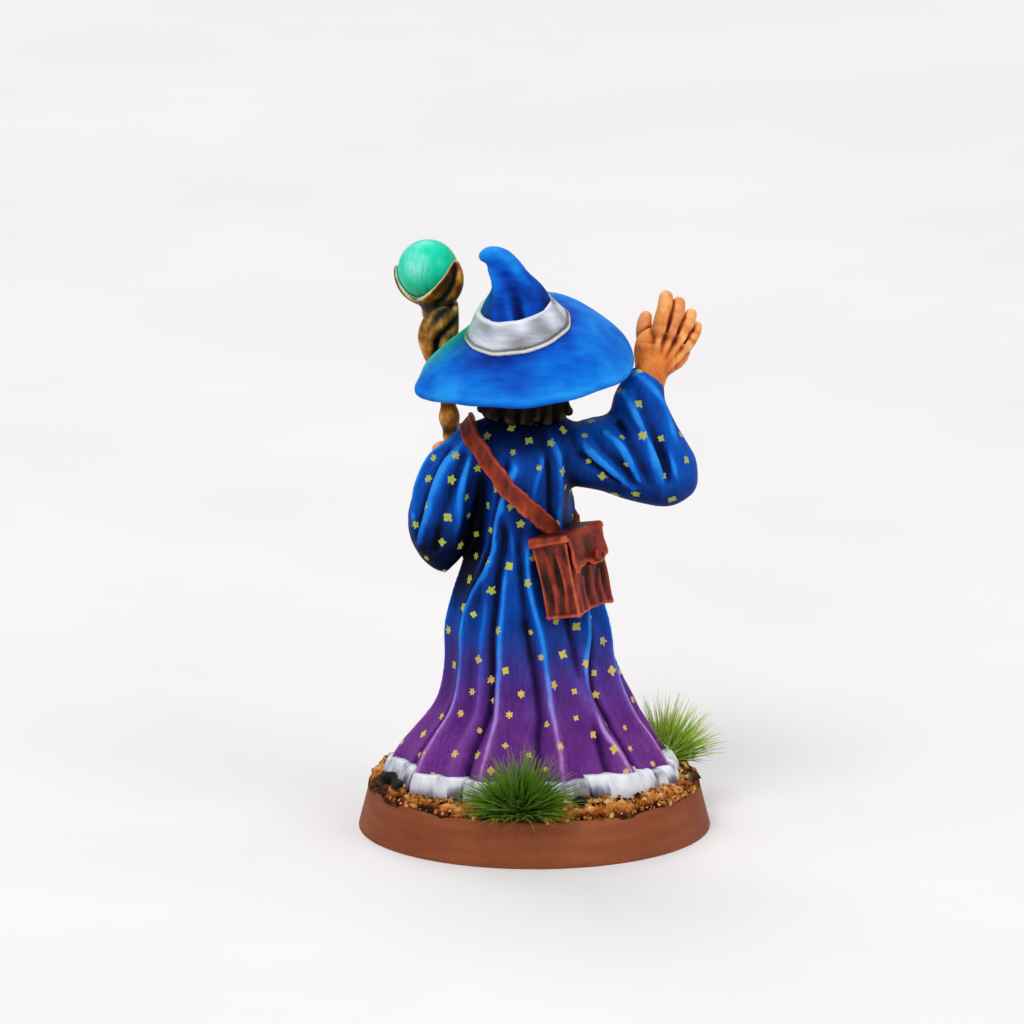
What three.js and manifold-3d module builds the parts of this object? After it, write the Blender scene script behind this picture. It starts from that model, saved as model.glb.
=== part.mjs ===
// A painted wizard figure for tabletop games, as the kit of cast pieces that it is glued up from.
// Millimetres, +Z up. The figure faces -Y, its left hand is at +X, and its back is at +Y.
// The origin is the centre of the round base's underside.
import * as THREE from "three";
import { mergeVertices } from "three/addons/utils/BufferGeometryUtils.js";
import Module from "manifold-3d";

const wasm = await Module();
wasm.setup();

// ---------------------------------------------------------------- driving dimensions
const BASE_RADIUS = 12.5; // a 25 mm round base
const BASE_TOP_RADIUS = 11.7;
const BASE_HEIGHT = 3.2;
const BASE_WALL = 1.2;
const SLOT_LENGTH = 15;
const SLOT_WIDTH = 1.9;
const GLUE_GAP = 0.05; // clearance between two pieces that are glued together
const FIGURE_FOOT = BASE_HEIGHT + 0.3; // underside of the robe
const HEM_HEIGHT = 1.55;
const PEG_RADIUS = 0.9;
const ORB_RADIUS = 2.15;
const STAFF_RADIUS = 0.55;
const STRAP_WIDTH = 1.3;
const STRAP_THICKNESS = 0.42;
const STRAP_LIFT = 0.3; // the strap's underside above the robe, over the robe's flats

const deg = THREE.MathUtils.degToRad;
const vec = (x, y, z) => new THREE.Vector3(x, y, z);

// ---------------------------------------------------------------- tools
function solidOf(geometry) {
  const plain = new THREE.BufferGeometry();
  plain.setAttribute("position", geometry.getAttribute("position"));
  if (geometry.index) plain.setIndex(geometry.index);
  const merged = mergeVertices(plain, 1e-4);
  return new wasm.Manifold(
    new wasm.Mesh({
      numProp: 3,
      vertProperties: merged.attributes.position.array,
      triVerts: new Uint32Array(merged.index.array),
    }),
  );
}

function geometryOf(solid) {
  const mesh = solid.getMesh();
  const geometry = new THREE.BufferGeometry();
  const positions = new THREE.BufferAttribute(mesh.vertProperties, 3);
  geometry.setAttribute("position", positions);
  geometry.setIndex(new THREE.BufferAttribute(mesh.triVerts, 1));
  return withoutCrumbs(geometry);
}

// Leaves out the crumbs that a cut can leave loose beside a solid: the body with the most faces stays.
function withoutCrumbs(geometry) {
  const faces = Array.from(geometry.index.array);
  const owner = Array.from(geometry.attributes.position.array, (_, i) => i);
  const root = (i) => {
    while (owner[i] !== i) i = owner[i];
    return i;
  };
  for (let i = 0; i < faces.length; i += 3) {
    const home = root(faces[i]);
    owner[root(faces[i + 1])] = home;
    owner[root(faces[i + 2])] = home;
  }
  const tally = new Map();
  for (const i of faces) tally.set(root(i), (tally.get(root(i)) ?? 0) + 1);
  const [most] = [...tally].sort((a, b) => b[1] - a[1])[0];
  geometry.setIndex(faces.filter((i) => root(i) === most));
  return geometry;
}

// A closed skin over a stack of rings that all have the same number of points. Its ends are capped, or,
// when it is looped, its last ring joins its first.
function skin(rings, looped = false) {
  const count = rings[0].length;
  const positions = [];
  const faces = [];
  for (const ring of rings) for (const p of ring) positions.push(p.x, p.y, p.z);
  for (let i = 0; i < (looped ? rings.length : rings.length - 1); i++) {
    for (let j = 0; j < count; j++) {
      const k = (j + 1) % count;
      const a = i * count + j;
      const b = i * count + k;
      const next = (a) => (a + count) % (rings.length * count);
      faces.push(a, b, next(b), a, next(b), next(a));
    }
  }
  const first = [rings[0], 0, true];
  const last = [rings[rings.length - 1], (rings.length - 1) * count, false];
  for (const [ring, start, flip] of looped ? [] : [first, last]) {
    const middle = ring
      .reduce((sum, p) => sum.add(p), vec(0, 0, 0))
      .divideScalar(count);
    const centre = positions.length / 3;
    positions.push(middle.x, middle.y, middle.z);
    for (let j = 0; j < count; j++) {
      const k = (j + 1) % count;
      if (flip) faces.push(centre, start + k, start + j);
      else faces.push(centre, start + j, start + k);
    }
  }
  const corner = (i) => vec(...positions.slice(3 * i, 3 * i + 3));
  let volume = 0;
  for (let i = 0; i < faces.length; i += 3) {
    const [a, b, c] = [0, 1, 2].map((k) => corner(faces[i + k]));
    volume += a.dot(b.cross(c));
  }
  if (volume < 0) faces.reverse();
  const geometry = new THREE.BufferGeometry();
  geometry.setAttribute("position", new THREE.Float32BufferAttribute(positions, 3));
  geometry.setIndex(faces);
  return solidOf(geometry);
}

// A round bar along a smooth line through the points, with a radius at each. cap is how far each end
// bulges, as a share of its radius, and grow is added all over.
function bar(points, radii, { sides = 10, steps = 6, cap = 1, grow = 0 } = {}) {
  const curve = new THREE.CatmullRomCurve3(points.map((p) => vec(...p)));
  const up = vec(0.13, 0.31, 0.94);
  const ring = (t, radius, shift) => {
    const tangent = curve.getTangent(t);
    const side = vec(0, 0, 0).crossVectors(up, tangent).normalize();
    const other = vec(0, 0, 0).crossVectors(tangent, side);
    const middle = curve.getPoint(t).addScaledVector(tangent, shift);
    return Array.from({ length: sides }, (_, i) => {
      const a = (i / sides) * 2 * Math.PI;
      return middle
        .clone()
        .addScaledVector(side, radius * Math.cos(a))
        .addScaledVector(other, radius * Math.sin(a));
    });
  };
  const radiusAt = (t) => {
    const place = t * (radii.length - 1);
    const i = Math.min(radii.length - 2, Math.floor(place));
    return THREE.MathUtils.lerp(radii[i], radii[i + 1], place - i) + grow;
  };
  const [start, end] = [radiusAt(0), radiusAt(1)];
  const rings = [ring(0, 0.6 * start, -0.8 * cap * start)];
  for (let i = 0; i <= steps; i++) rings.push(ring(i / steps, radiusAt(i / steps), 0));
  rings.push(ring(1, 0.6 * end, 0.8 * cap * end));
  return skin(rings);
}

function ellipsoid(centre, radii, grow = 0, detail = 11) {
  const geometry = new THREE.SphereGeometry(1, detail, Math.round(detail * 0.7));
  geometry.scale(...radii.map((r) => r + grow));
  geometry.translate(...centre);
  return solidOf(geometry);
}

const joined = (solids) => solids.reduce((sum, s) => sum.add(s));
const without = (solid, ...cutters) =>
  cutters.reduce((left, c) => left.subtract(c), solid);

// Reads a table of rows [key, a, b, ...] at a key, with a smooth curve through its rows.
function readTable(rows, key) {
  const last = rows.length - 1;
  if (key <= rows[0][0]) return rows[0].slice(1);
  if (key >= rows[last][0]) return rows[last].slice(1);
  const i = rows.findIndex((row) => row[0] > key) - 1;
  const before = rows[Math.max(0, i - 1)];
  const [a, b] = [rows[i], rows[i + 1]];
  const after = rows[Math.min(last, i + 2)];
  const step = b[0] - a[0];
  const t = (key - a[0]) / step;
  return a.slice(1).map((_, n) => {
    const k = n + 1;
    const slopeA = ((b[k] - before[k]) / (b[0] - before[0])) * step;
    const slopeB = ((after[k] - a[k]) / (after[0] - a[0])) * step;
    const [t2, t3] = [t * t, t * t * t];
    return (
      (2 * t3 - 3 * t2 + 1) * a[k] +
      (t3 - 2 * t2 + t) * slopeA +
      (3 * t2 - 2 * t3) * b[k] +
      (t3 - t2) * slopeB
    );
  });
}

// ---------------------------------------------------------------- robe
// Height, middle in X, half width, depth behind the middle, depth in front of it, depth of the folds.
const ROBE = [
  [3.5, 0.05, 10.0, 8.5, 7.8, 0.9],
  [4.8, 0.15, 9.8, 8.1, 7.4, 0.9],
  [7.0, 0.1, 8.3, 7.0, 6.3, 0.85],
  [9.15, -0.1, 6.9, 6.1, 5.4, 0.8],
  [12.4, 0.3, 5.85, 5.2, 4.7, 0.7],
  [14.6, 0.5, 5.6, 4.8, 4.4, 0.6],
  [17.2, 0.6, 4.95, 4.2, 4.0, 0.5],
  [19.4, 0.75, 4.1, 3.75, 3.5, 0.45],
  [22.3, 0.75, 3.75, 3.55, 3.3, 0.45],
  [24.5, 0.75, 3.7, 3.75, 3.4, 0.45],
  [26.7, 0.6, 4.1, 3.85, 3.4, 0.4],
  [28.3, 0.45, 4.4, 3.4, 2.9, 0.3],
  [29.4, 0.45, 3.7, 2.5, 2.1, 0.15],
  [30.1, 0.4, 2.3, 1.7, 1.5, 0],
];
// Each fold is a ridge that runs through points of height and angle. The angle is 0 at the figure's
// back, and grows towards its right hand.
const FOLDS = [
  [[3.5, -90], [10, -88], [17, -88], [24, -84]],
  [[3.5, -53], [8, -57], [14, -52], [20, -35], [24, -28]],
  [[3.5, -22], [9, -23], [14, -20], [20, -15], [24, 3], [28, 14]],
  [[3.5, 13], [9, 11], [15, 10], [20, 8], [23, 42], [27, 40]],
  [[3.5, 45], [8, 39], [11, 37], [17, 52]],
  [[3.5, 76], [9, 72], [14, 80], [24, 86]],
  [[3.5, 108], [10, 106], [18, 112]],
  [[3.5, 139], [10, 136], [18, 142], [24, 146]],
  [[3.5, 168], [10, 165], [18, 166], [26, 160]],
  [[3.5, 195], [10, 196], [18, 192], [25, 200]],
  [[3.5, 222], [10, 224], [18, 218], [24, 214]],
  [[3.5, 247], [10, 250], [18, 248]],
];
const FOLD_WIDTH = 9.5;

function foldAt(angle, height) {
  let ridge = 0;
  for (const points of FOLDS) {
    const [middle] = readTable(points, height);
    const top = points[points.length - 1][0];
    const fade = THREE.MathUtils.clamp((top + 2 - height) / 2, 0, 1);
    let away = (((angle - middle) % 360) + 540) % 360;
    away = (away - 180) / FOLD_WIDTH;
    ridge += fade * Math.exp(-away * away);
  }
  return Math.min(1, ridge) - 0.5;
}

function robePoint(angle, height, grow = 0) {
  const [middle, half, back, front, fold] = readTable(ROBE, height);
  const [s, c] = [Math.sin(deg(angle)), Math.cos(deg(angle))];
  const depth = c > 0 ? back : front;
  const x = -half * s;
  const y = depth * c;
  const out = 1 + (fold * foldAt(angle, height) + grow) / Math.hypot(x, y);
  return vec(middle + x * out, y * out, height);
}

function robeRing(height, grow, count = 44) {
  return Array.from({ length: count }, (_, i) =>
    robePoint((i * 360) / count, height, grow),
  );
}

function robeShell(grow) {
  const levels = [5, 6.2, 7.5, 9.2, 11.6, 14.6, 17.2, 19.4, 22, 24.5, 26.7, 28.3, 29.3, 30.1];
  const rings = [robeRing(FIGURE_FOOT - grow, grow)];
  for (const z of levels) rings.push(robeRing(z, grow));
  const top = robeRing(30.1, grow);
  const inwards = (p, share) =>
    vec(0.4 + (p.x - 0.4) * share, p.y * share, p.z + 0.25 + grow);
  rings.push(top.map((p) => inwards(p, 0.6)));
  return skin(rings);
}

// The tab is cast on the robe, and drops through the base's slot.
function slotTab() {
  const depth = FIGURE_FOOT - 0.6 + 0.5;
  const tab = new THREE.BoxGeometry(
    SLOT_LENGTH - 2 * GLUE_GAP,
    SLOT_WIDTH - 2 * GLUE_GAP,
    depth,
  );
  tab.translate(0, 0, 0.6 + depth / 2);
  return solidOf(tab);
}

// The white hem: a thick band that follows the folds round the robe's foot.
function hem(grow = 0) {
  const section = [
    [0, GLUE_GAP],
    [0.03, 0.3],
    [0.55, 0.38],
    [0.95, 0.28],
    [1, GLUE_GAP],
  ];
  const rings = section.map(([t, out]) =>
    robeRing(FIGURE_FOOT + t * HEM_HEIGHT, out + grow),
  );
  return skin(rings, grow === 0);
}

// ---------------------------------------------------------------- sleeves
function leftSleeveShape(grow = 0) {
  const upper = bar(
    [[4.3, 0.2, 27.2], [5.7, 0.7, 25.4], [6.75, 1.0, 22.6], [6.65, 0.8, 20.9]],
    [1.95, 2.15, 2.15, 1.7],
    { grow },
  );
  const lower = bar(
    [[6.6, 0.8, 21.6], [6.5, -1.4, 21.8], [6.2, -3.9, 22.9]],
    [1.9, 2.0, 2.15],
    { cap: 0.2, grow, steps: 6 },
  );
  return upper.add(lower);
}

function rightSleeveShape(grow = 0) {
  const upper = bar(
    [[-2.8, 0, 27.1], [-5.2, -0.2, 27.2], [-7.6, -0.4, 26.6], [-9.1, -0.4, 25.7]],
    [2.3, 2.55, 2.75, 2.4],
    { grow },
  );
  const lower = bar(
    [[-8.9, -0.4, 26.2], [-7.9, -0.6, 28.4], [-7.4, -0.8, 30.2], [-7.65, -1.1, 31.8]],
    [2.35, 2.3, 2.05, 1.6],
    { cap: 0.7, grow },
  );
  return upper.add(lower);
}

const LEFT_PEG = [[2.9, 0.1, 27.0], [5.2, 0.3, 26.6]];
const RIGHT_PEG = [[-1.7, 0, 27.1], [-4.4, -0.1, 27.2]];
const LEFT_WRIST = [[6.1, -3.0, 22.9], [5.85, -5.9, 24.4]];
const RIGHT_WRIST = [[-8.0, -1.1, 30.6], [-8.3, -1.4, 33.4]];
const WRIST_RADIUS = 0.9;

const peg = (line, radius, grow = 0) =>
  bar(line, [radius, radius], { cap: 0.15, steps: 2, grow, sides: 12 });

// ---------------------------------------------------------------- hands
function rightHand() {
  const finger = (points, radii) => bar(points, radii, { sides: 6, steps: 3 });
  const parts = [
    peg(RIGHT_WRIST, WRIST_RADIUS),
    bar(
      [[-8.3, -1.4, 33.0], [-8.8, -1.5, 34.4], [-9.1, -1.6, 35.5]],
      [1.1, 1.3, 1.25],
      { sides: 10, steps: 4 },
    ),
    bar([[-9.4, -1.5, 33.9], [-10.2, -1.6, 35.0]], [0.85, 0.95], { sides: 8, steps: 2 }),
    bar([[-8.0, -1.5, 33.7], [-8.05, -1.6, 35.2]], [0.85, 0.85], { sides: 8, steps: 2 }),
    finger([[-8.9, -1.7, 35.6], [-9.0, -1.7, 37.2], [-9.2, -2.3, 38.05]], [0.66, 0.62, 0.5]),
    finger([[-9.6, -1.7, 35.5], [-10.1, -1.7, 36.8], [-10.4, -2.5, 37.5]], [0.6, 0.56, 0.45]),
    finger([[-10.3, -1.8, 35.1], [-10.9, -1.9, 36.2], [-11.2, -2.7, 36.7]], [0.55, 0.52, 0.42]),
    finger([[-10.7, -1.8, 34.5], [-11.25, -2.0, 35.3], [-11.5, -2.7, 35.7]], [0.5, 0.48, 0.4]),
    finger([[-8.0, -1.8, 34.8], [-7.75, -2.1, 35.9], [-7.8, -2.6, 36.5]], [0.6, 0.55, 0.45]),
  ];
  return joined(parts);
}

function leftHand() {
  const grip = vec(5.6, -6.4, 24.6);
  const at = (x, y, z) => [grip.x + x, grip.y + y, grip.z + z];
  const finger = (z) =>
    bar(
      [at(0.9, 0.7, z), at(1.25, -0.5, z), at(0.3, -1.3, z), at(-0.8, -0.9, z)],
      [0.5, 0.5, 0.48, 0.42],
      { sides: 6, steps: 4 },
    );
  const parts = [
    peg(LEFT_WRIST, WRIST_RADIUS),
    bar([at(0.3, 1.0, -0.3), at(0.5, 0.9, 0.5)], [1.15, 1.1], { sides: 10, steps: 2 }),
    ...[-1.0, -0.2, 0.6, 1.35].map(finger),
    bar([at(-0.5, 0.9, 0.4), at(-1.1, -0.1, 0.9), at(-0.5, -1.0, 1.3)], [0.55, 0.5, 0.4], {
      sides: 6,
      steps: 3,
    }),
  ];
  return joined(parts);
}

// ---------------------------------------------------------------- head
const HEAD = [0.75, -0.35, 33.5];

function headShape(grow = 0) {
  const at = (x, y, z) => [HEAD[0] + x, HEAD[1] + y, HEAD[2] + z];
  const parts = [
    ellipsoid(at(0, 0.1, 0.5), [2.0, 2.3, 2.2], grow),
    ellipsoid(at(0, -0.75, -0.9), [1.45, 1.45, 1.5], grow),
    bar([at(-0.1, 0.5, -1.5), at(-0.25, 0.35, -4.0)], [1.25, 1.25], {
      cap: 0.2,
      steps: 2,
      grow,
      sides: 12,
    }),
  ];
  parts.push(
    bar([at(0, -2.15, 0.35), at(0, -2.5, -0.5)], [0.3, 0.42], { sides: 8, steps: 2, grow }),
    ellipsoid(at(1.95, 0.1, -0.2), [0.3, 0.5, 0.65], grow, 8),
    ellipsoid(at(-1.95, 0.1, -0.2), [0.3, 0.5, 0.65], grow, 8),
  );
  return joined(parts);
}

function hairShape(grow = 0) {
  const at = (x, y, z) => [HEAD[0] + x, HEAD[1] + y, HEAD[2] + z];
  return joined([
    ellipsoid(at(0, 0.8, -0.6), [2.35, 2.0, 2.3], grow),
    bar([at(-1.7, 0.8, -0.6), at(-2.4, 1.0, -2.2), at(-2.7, 0.9, -3.6)], [0.8, 0.95, 0.7], {
      grow,
      sides: 8,
      steps: 3,
    }),
    bar([at(1.7, 0.8, -0.6), at(2.3, 1.1, -2.2), at(2.5, 1.2, -3.5)], [0.8, 0.95, 0.7], {
      grow,
      sides: 8,
      steps: 3,
    }),
    bar([at(0, 1.9, -0.8), at(-0.1, 2.2, -2.4), at(-0.2, 2.1, -3.8)], [1.3, 1.45, 1.0], {
      grow,
      sides: 8,
      steps: 3,
    }),
  ]);
}

function beardShape(grow = 0) {
  const at = (x, y, z) => [HEAD[0] + x, HEAD[1] + y, HEAD[2] + z];
  return joined([
    bar(
      [at(0, -1.7, -1.5), at(0, -2.9, -3.4), at(-0.1, -3.5, -6.2), at(-0.2, -3.7, -8.6)],
      [1.45, 1.6, 1.15, 0.4],
      { grow, sides: 10, steps: 5 },
    ),
    bar([at(-1.6, -0.5, -1.3), at(-1.0, -1.8, -2.1)], [0.6, 1.0], { grow, sides: 6, steps: 2 }),
    bar([at(1.6, -0.5, -1.3), at(1.0, -1.8, -2.1)], [0.6, 1.0], { grow, sides: 6, steps: 2 }),
  ]);
}

// ---------------------------------------------------------------- hat
const HAT_ORIGIN = vec(1.07, 0.16, 35.9); // middle of the brim's root
const HAT_TILT = new THREE.Euler(deg(-14.2), deg(10.4), 0);
const BRIM_ROOT = 3.1;
// The brim's edge at turns round the head, from the left side through the back: turn, radius, and how
// far the edge droops below the brim's root.
const BRIM_EDGE = [
  [0, 7.5, 1.5],
  [45, 7.5, 1.5],
  [73, 7.4, 1.45],
  [97, 7.35, 1.8],
  [125, 7.5, 2.4],
  [150, 7.7, 3.0],
  [180, 7.6, 3.3],
  [205, 7.6, 3.0],
  [228, 7.4, 2.1],
  [250, 7.1, 1.0],
  [270, 6.9, 0.8],
  [300, 6.5, 1.3],
  [328, 6.6, 1.9],
  [360, 7.5, 1.5],
];

function intoHat(x, y, z) {
  return vec(x, y, z).applyEuler(HAT_TILT).add(HAT_ORIGIN);
}

const onHat = (points) => points.map((p) => intoHat(...p).toArray());

function crownShape(grow = 0) {
  const spine = [
    [0, 0, -0.3],
    [-0.1, 0, 1.0],
    [-0.33, 0, 2.15],
    [-0.28, 0, 3.45],
    [-0.03, 0, 5.05],
    [0.3, 0, 5.95],
    [0.85, 0.05, 6.5],
    [1.35, 0.05, 6.6],
  ];
  const radii = [3.0, 2.75, 2.25, 1.62, 1.16, 0.95, 0.66, 0.42];
  return bar(onHat(spine), radii, { grow, cap: 0.3, sides: 16, steps: 10 });
}

function brimShape(grow = 0) {
  const count = 32;
  const half = 0.3 + grow;
  const ring = (share, lift) =>
    Array.from({ length: count }, (_, i) => {
      const turn = (i * 360) / count;
      const [edge, droop] = readTable(BRIM_EDGE, turn);
      const radius = THREE.MathUtils.lerp(BRIM_ROOT, edge + grow, share);
      const z = lift - droop * Math.max(0, share) ** 1.7;
      return intoHat(radius * Math.cos(deg(turn)), radius * Math.sin(deg(turn)), z);
    });
  return skin([
    ring(-0.4, -half - 0.2),
    ring(0, -half),
    ring(0.5, -half),
    ring(0.96, -half),
    ring(1, 0),
    ring(0.96, half),
    ring(0.5, half),
    ring(0, half),
    ring(-0.4, half),
  ]);
}

// The band is a thick ring that stands out from the crown, wider at its foot.
function hatBand() {
  const count = 32;
  const ring = (radius, z) =>
    Array.from({ length: count }, (_, i) => {
      const turn = (i / count) * 2 * Math.PI;
      return intoHat(radius * Math.cos(turn), radius * Math.sin(turn), z);
    });
  const low = 0.3 + GLUE_GAP;
  const section = [[3.2, low], [3.6, low], [3.65, 0.65], [2.8, 1.9], [2.65, 2.1], [2.4, 2.1]];
  return skin(section.map(([radius, z]) => ring(radius, z)), true);
}

// ---------------------------------------------------------------- staff
const STAFF = [
  [2.2, -9.6, 4.2],
  [3.5, -8.4, 12],
  [4.6, -7.2, 19],
  [5.6, -6.4, 24.6],
  [6.0, -6.1, 28.1],
  [6.35, -6.0, 30.6],
  [6.85, -6.0, 32.8],
  [6.95, -6.0, 34.6],
  [6.8, -6.0, 36.1],
];
const ORB = [7.55, -6.0, 39.1];

function staffShape(grow = 0) {
  const r = STAFF_RADIUS;
  const radii = [r, r, r, r, 1.25 * r, 1.1 * r, 1.6 * r, 2.1 * r, 1.8 * r];
  return bar(STAFF, radii, { grow, cap: 0.3, sides: 8, steps: 20 });
}

const orb = (grow) => ellipsoid(ORB, [ORB_RADIUS, ORB_RADIUS, ORB_RADIUS], grow, 18);

const PRONG_TURNS = [65, -95, 180];

function staffClaw() {
  const top = STAFF[STAFF.length - 1];
  const lean = vec(...ORB).sub(vec(...top)).normalize();
  const cup = top.map((v, i) => v + 0.75 * lean.toArray()[i]);
  const parts = [bar([top, cup], [1.0, 1.15], { sides: 12, steps: 2, cap: 0.5 })];
  for (const turn of PRONG_TURNS) {
    const out = vec(-Math.sin(deg(turn)), Math.cos(deg(turn)), 0);
    const at = (away, height) => [
      ORB[0] + out.x * away,
      ORB[1] + out.y * away,
      ORB[2] + height,
    ];
    const low = top.map((v, i) => v + 0.3 * lean.toArray()[i]);
    parts.push(
      bar([low, at(1.5, -1.9), at(2.25, -0.7), at(2.45, 0.5)], [0.8, 0.75, 0.55, 0.15], {
        sides: 8,
        steps: 5,
      }),
    );
  }
  return without(joined(parts), orb(GLUE_GAP), staffShape(GLUE_GAP));
}

// ---------------------------------------------------------------- satchel
const SATCHEL = { width: 4.8, depth: 2.85, height: 5.6 };
const SATCHEL_MIDDLE = [-2.65, 3.1, 19.35];
const SATCHEL_TURN = new THREE.Matrix4().compose(
  vec(...SATCHEL_MIDDLE),
  new THREE.Quaternion().setFromEuler(new THREE.Euler(deg(5), deg(11), deg(58))),
  vec(1, 1, 1),
);

// A box whose sides pull in between its corners. Its front faces +Y before it is turned on to the hip.
function pinchedBox(low, high, pinch, place, grow = 0) {
  const sides = 4;
  const rings = [];
  for (let i = 0; i <= sides; i++) {
    const t = i / sides;
    const z = THREE.MathUtils.lerp(low[2] - grow, high[2] + grow, t);
    const flare = 1 + 0.06 * (1 - t);
    const ring = [];
    const corners = [
      [low[0] - grow, low[1] - grow],
      [high[0] + grow, low[1] - grow],
      [high[0] + grow, high[1] + grow],
      [low[0] - grow, high[1] + grow],
    ];
    corners.forEach((from, n) => {
      const to = corners[(n + 1) % 4];
      for (let k = 0; k < 4; k++) {
        const s = k / 4;
        const pull = 1 - pinch * Math.sin(Math.PI * s) * Math.sin(Math.PI * t);
        ring.push(
          vec(
            THREE.MathUtils.lerp(from[0], to[0], s) * flare * pull,
            THREE.MathUtils.lerp(from[1], to[1], s) * flare * pull,
            z,
          ).applyMatrix4(place),
        );
      }
    });
    rings.push(ring);
  }
  return skin(rings);
}

function satchelBody(grow = 0) {
  const { width, depth, height } = SATCHEL;
  const high = [width / 2, depth / 2, height / 2];
  const low = high.map((v) => -v);
  return pinchedBox(low, high, 0.1, SATCHEL_TURN, grow);
}

function satchelFlap(grow = 0) {
  const { width, depth, height } = SATCHEL;
  const [w, d, h] = [width / 2 + 0.05, depth / 2, height / 2];
  const outline = new THREE.Shape();
  const thick = 0.3;
  outline.moveTo(-d, h + GLUE_GAP - grow);
  outline.lineTo(d + GLUE_GAP - grow + 0.12, h + GLUE_GAP - grow);
  outline.lineTo(d + GLUE_GAP - grow + 0.2, h - 2.4 - grow);
  outline.lineTo(d + thick + 0.25 + grow, h - 2.4 - grow);
  outline.lineTo(d + thick + 0.1 + grow, h + thick * 0.6);
  outline.lineTo(d + grow, h + thick + GLUE_GAP + grow);
  outline.lineTo(-d, h + thick + GLUE_GAP + grow);
  outline.closePath();
  const flap = new THREE.ExtrudeGeometry(outline, {
    depth: 2 * (w + grow),
    bevelEnabled: false,
  });
  // The outline's first axis is the satchel's depth and its second is up, so it is turned upright.
  flap.applyMatrix4(
    new THREE.Matrix4().makeBasis(vec(0, 1, 0), vec(0, 0, 1), vec(1, 0, 0)),
  );
  flap.translate(-w - grow, 0, 0);
  flap.applyMatrix4(SATCHEL_TURN);
  return solidOf(flap);
}

function satchelButton() {
  const { depth, height } = SATCHEL;
  const button = new THREE.SphereGeometry(0.5, 12, 8);
  button.scale(1, 0.7, 1);
  button.translate(-0.55, depth / 2 + 0.75, height / 2 - 1.9);
  button.applyMatrix4(SATCHEL_TURN);
  return solidOf(button);
}

// The strap is one band from the satchel's near end, up across the back, over the left shoulder, and
// down across the chest to the satchel's far end. Points are height and angle on the robe.
const STRAP = [
  [40, 21.9],
  [27, 22.7],
  [14, 23.5],
  [0, 24.4],
  [-15, 25.45],
  [-31, 26.8],
  [-46, 28.0],
  [-66, 28.9],
  [-90, 29.2],
  [-112, 28.5],
  [-134, 27.4],
  [-156, 26.1],
  [-178, 24.9],
  [-202, 23.6],
  [-226, 22.5],
  [-250, 21.9],
  [-266, 21.4],
];

function strapShape(grow = 0) {
  const curve = new THREE.CatmullRomCurve3(STRAP.map(([a, z]) => vec(a, z, 0)));
  const steps = 26;
  const rings = [];
  for (let i = 0; i <= steps; i++) {
    const place = curve.getPoint(i / steps);
    const ahead = curve.getTangent(i / steps);
    const here = robePoint(place.x, place.y);
    const next = robePoint(place.x + ahead.x * 0.5, place.y + ahead.y * 0.5);
    const along = next.clone().sub(here).normalize();
    const above = robePoint(place.x, place.y + 0.4).sub(here);
    const around = robePoint(place.x - 2, place.y).sub(here);
    const normal = vec(0, 0, 0).crossVectors(above, around).normalize();
    if (normal.dot(vec(here.x - 0.5, here.y, 0)) < 0) normal.negate();
    const across = vec(0, 0, 0).crossVectors(normal, along).normalize();
    const half = STRAP_WIDTH / 2 + grow;
    const point = (w, n) =>
      here.clone().addScaledVector(across, w * half).addScaledVector(normal, n);
    const low = STRAP_LIFT - grow;
    const high = STRAP_LIFT + STRAP_THICKNESS + grow;
    rings.push([point(-1, low), point(0, low), point(1, low), point(1, high), point(-1, high)]);
  }
  return skin(rings);
}

// ---------------------------------------------------------------- base and ground
function baseShape() {
  const profile = [
    [BASE_RADIUS - BASE_WALL, 0],
    [BASE_RADIUS, 0],
    [BASE_TOP_RADIUS, BASE_HEIGHT],
    [0, BASE_HEIGHT],
    [0, BASE_HEIGHT - BASE_WALL],
    [BASE_TOP_RADIUS - BASE_WALL, BASE_HEIGHT - BASE_WALL],
    [BASE_RADIUS - BASE_WALL, 0],
  ];
  const lathe = new THREE.LatheGeometry(
    profile.map(([r, z]) => new THREE.Vector2(r, z)),
    48,
  );
  lathe.rotateX(Math.PI / 2);
  const slot = new THREE.BoxGeometry(SLOT_LENGTH, SLOT_WIDTH, 2 * BASE_HEIGHT);
  slot.translate(0, 0, BASE_HEIGHT);
  return solidOf(lathe).subtract(solidOf(slot));
}

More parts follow.
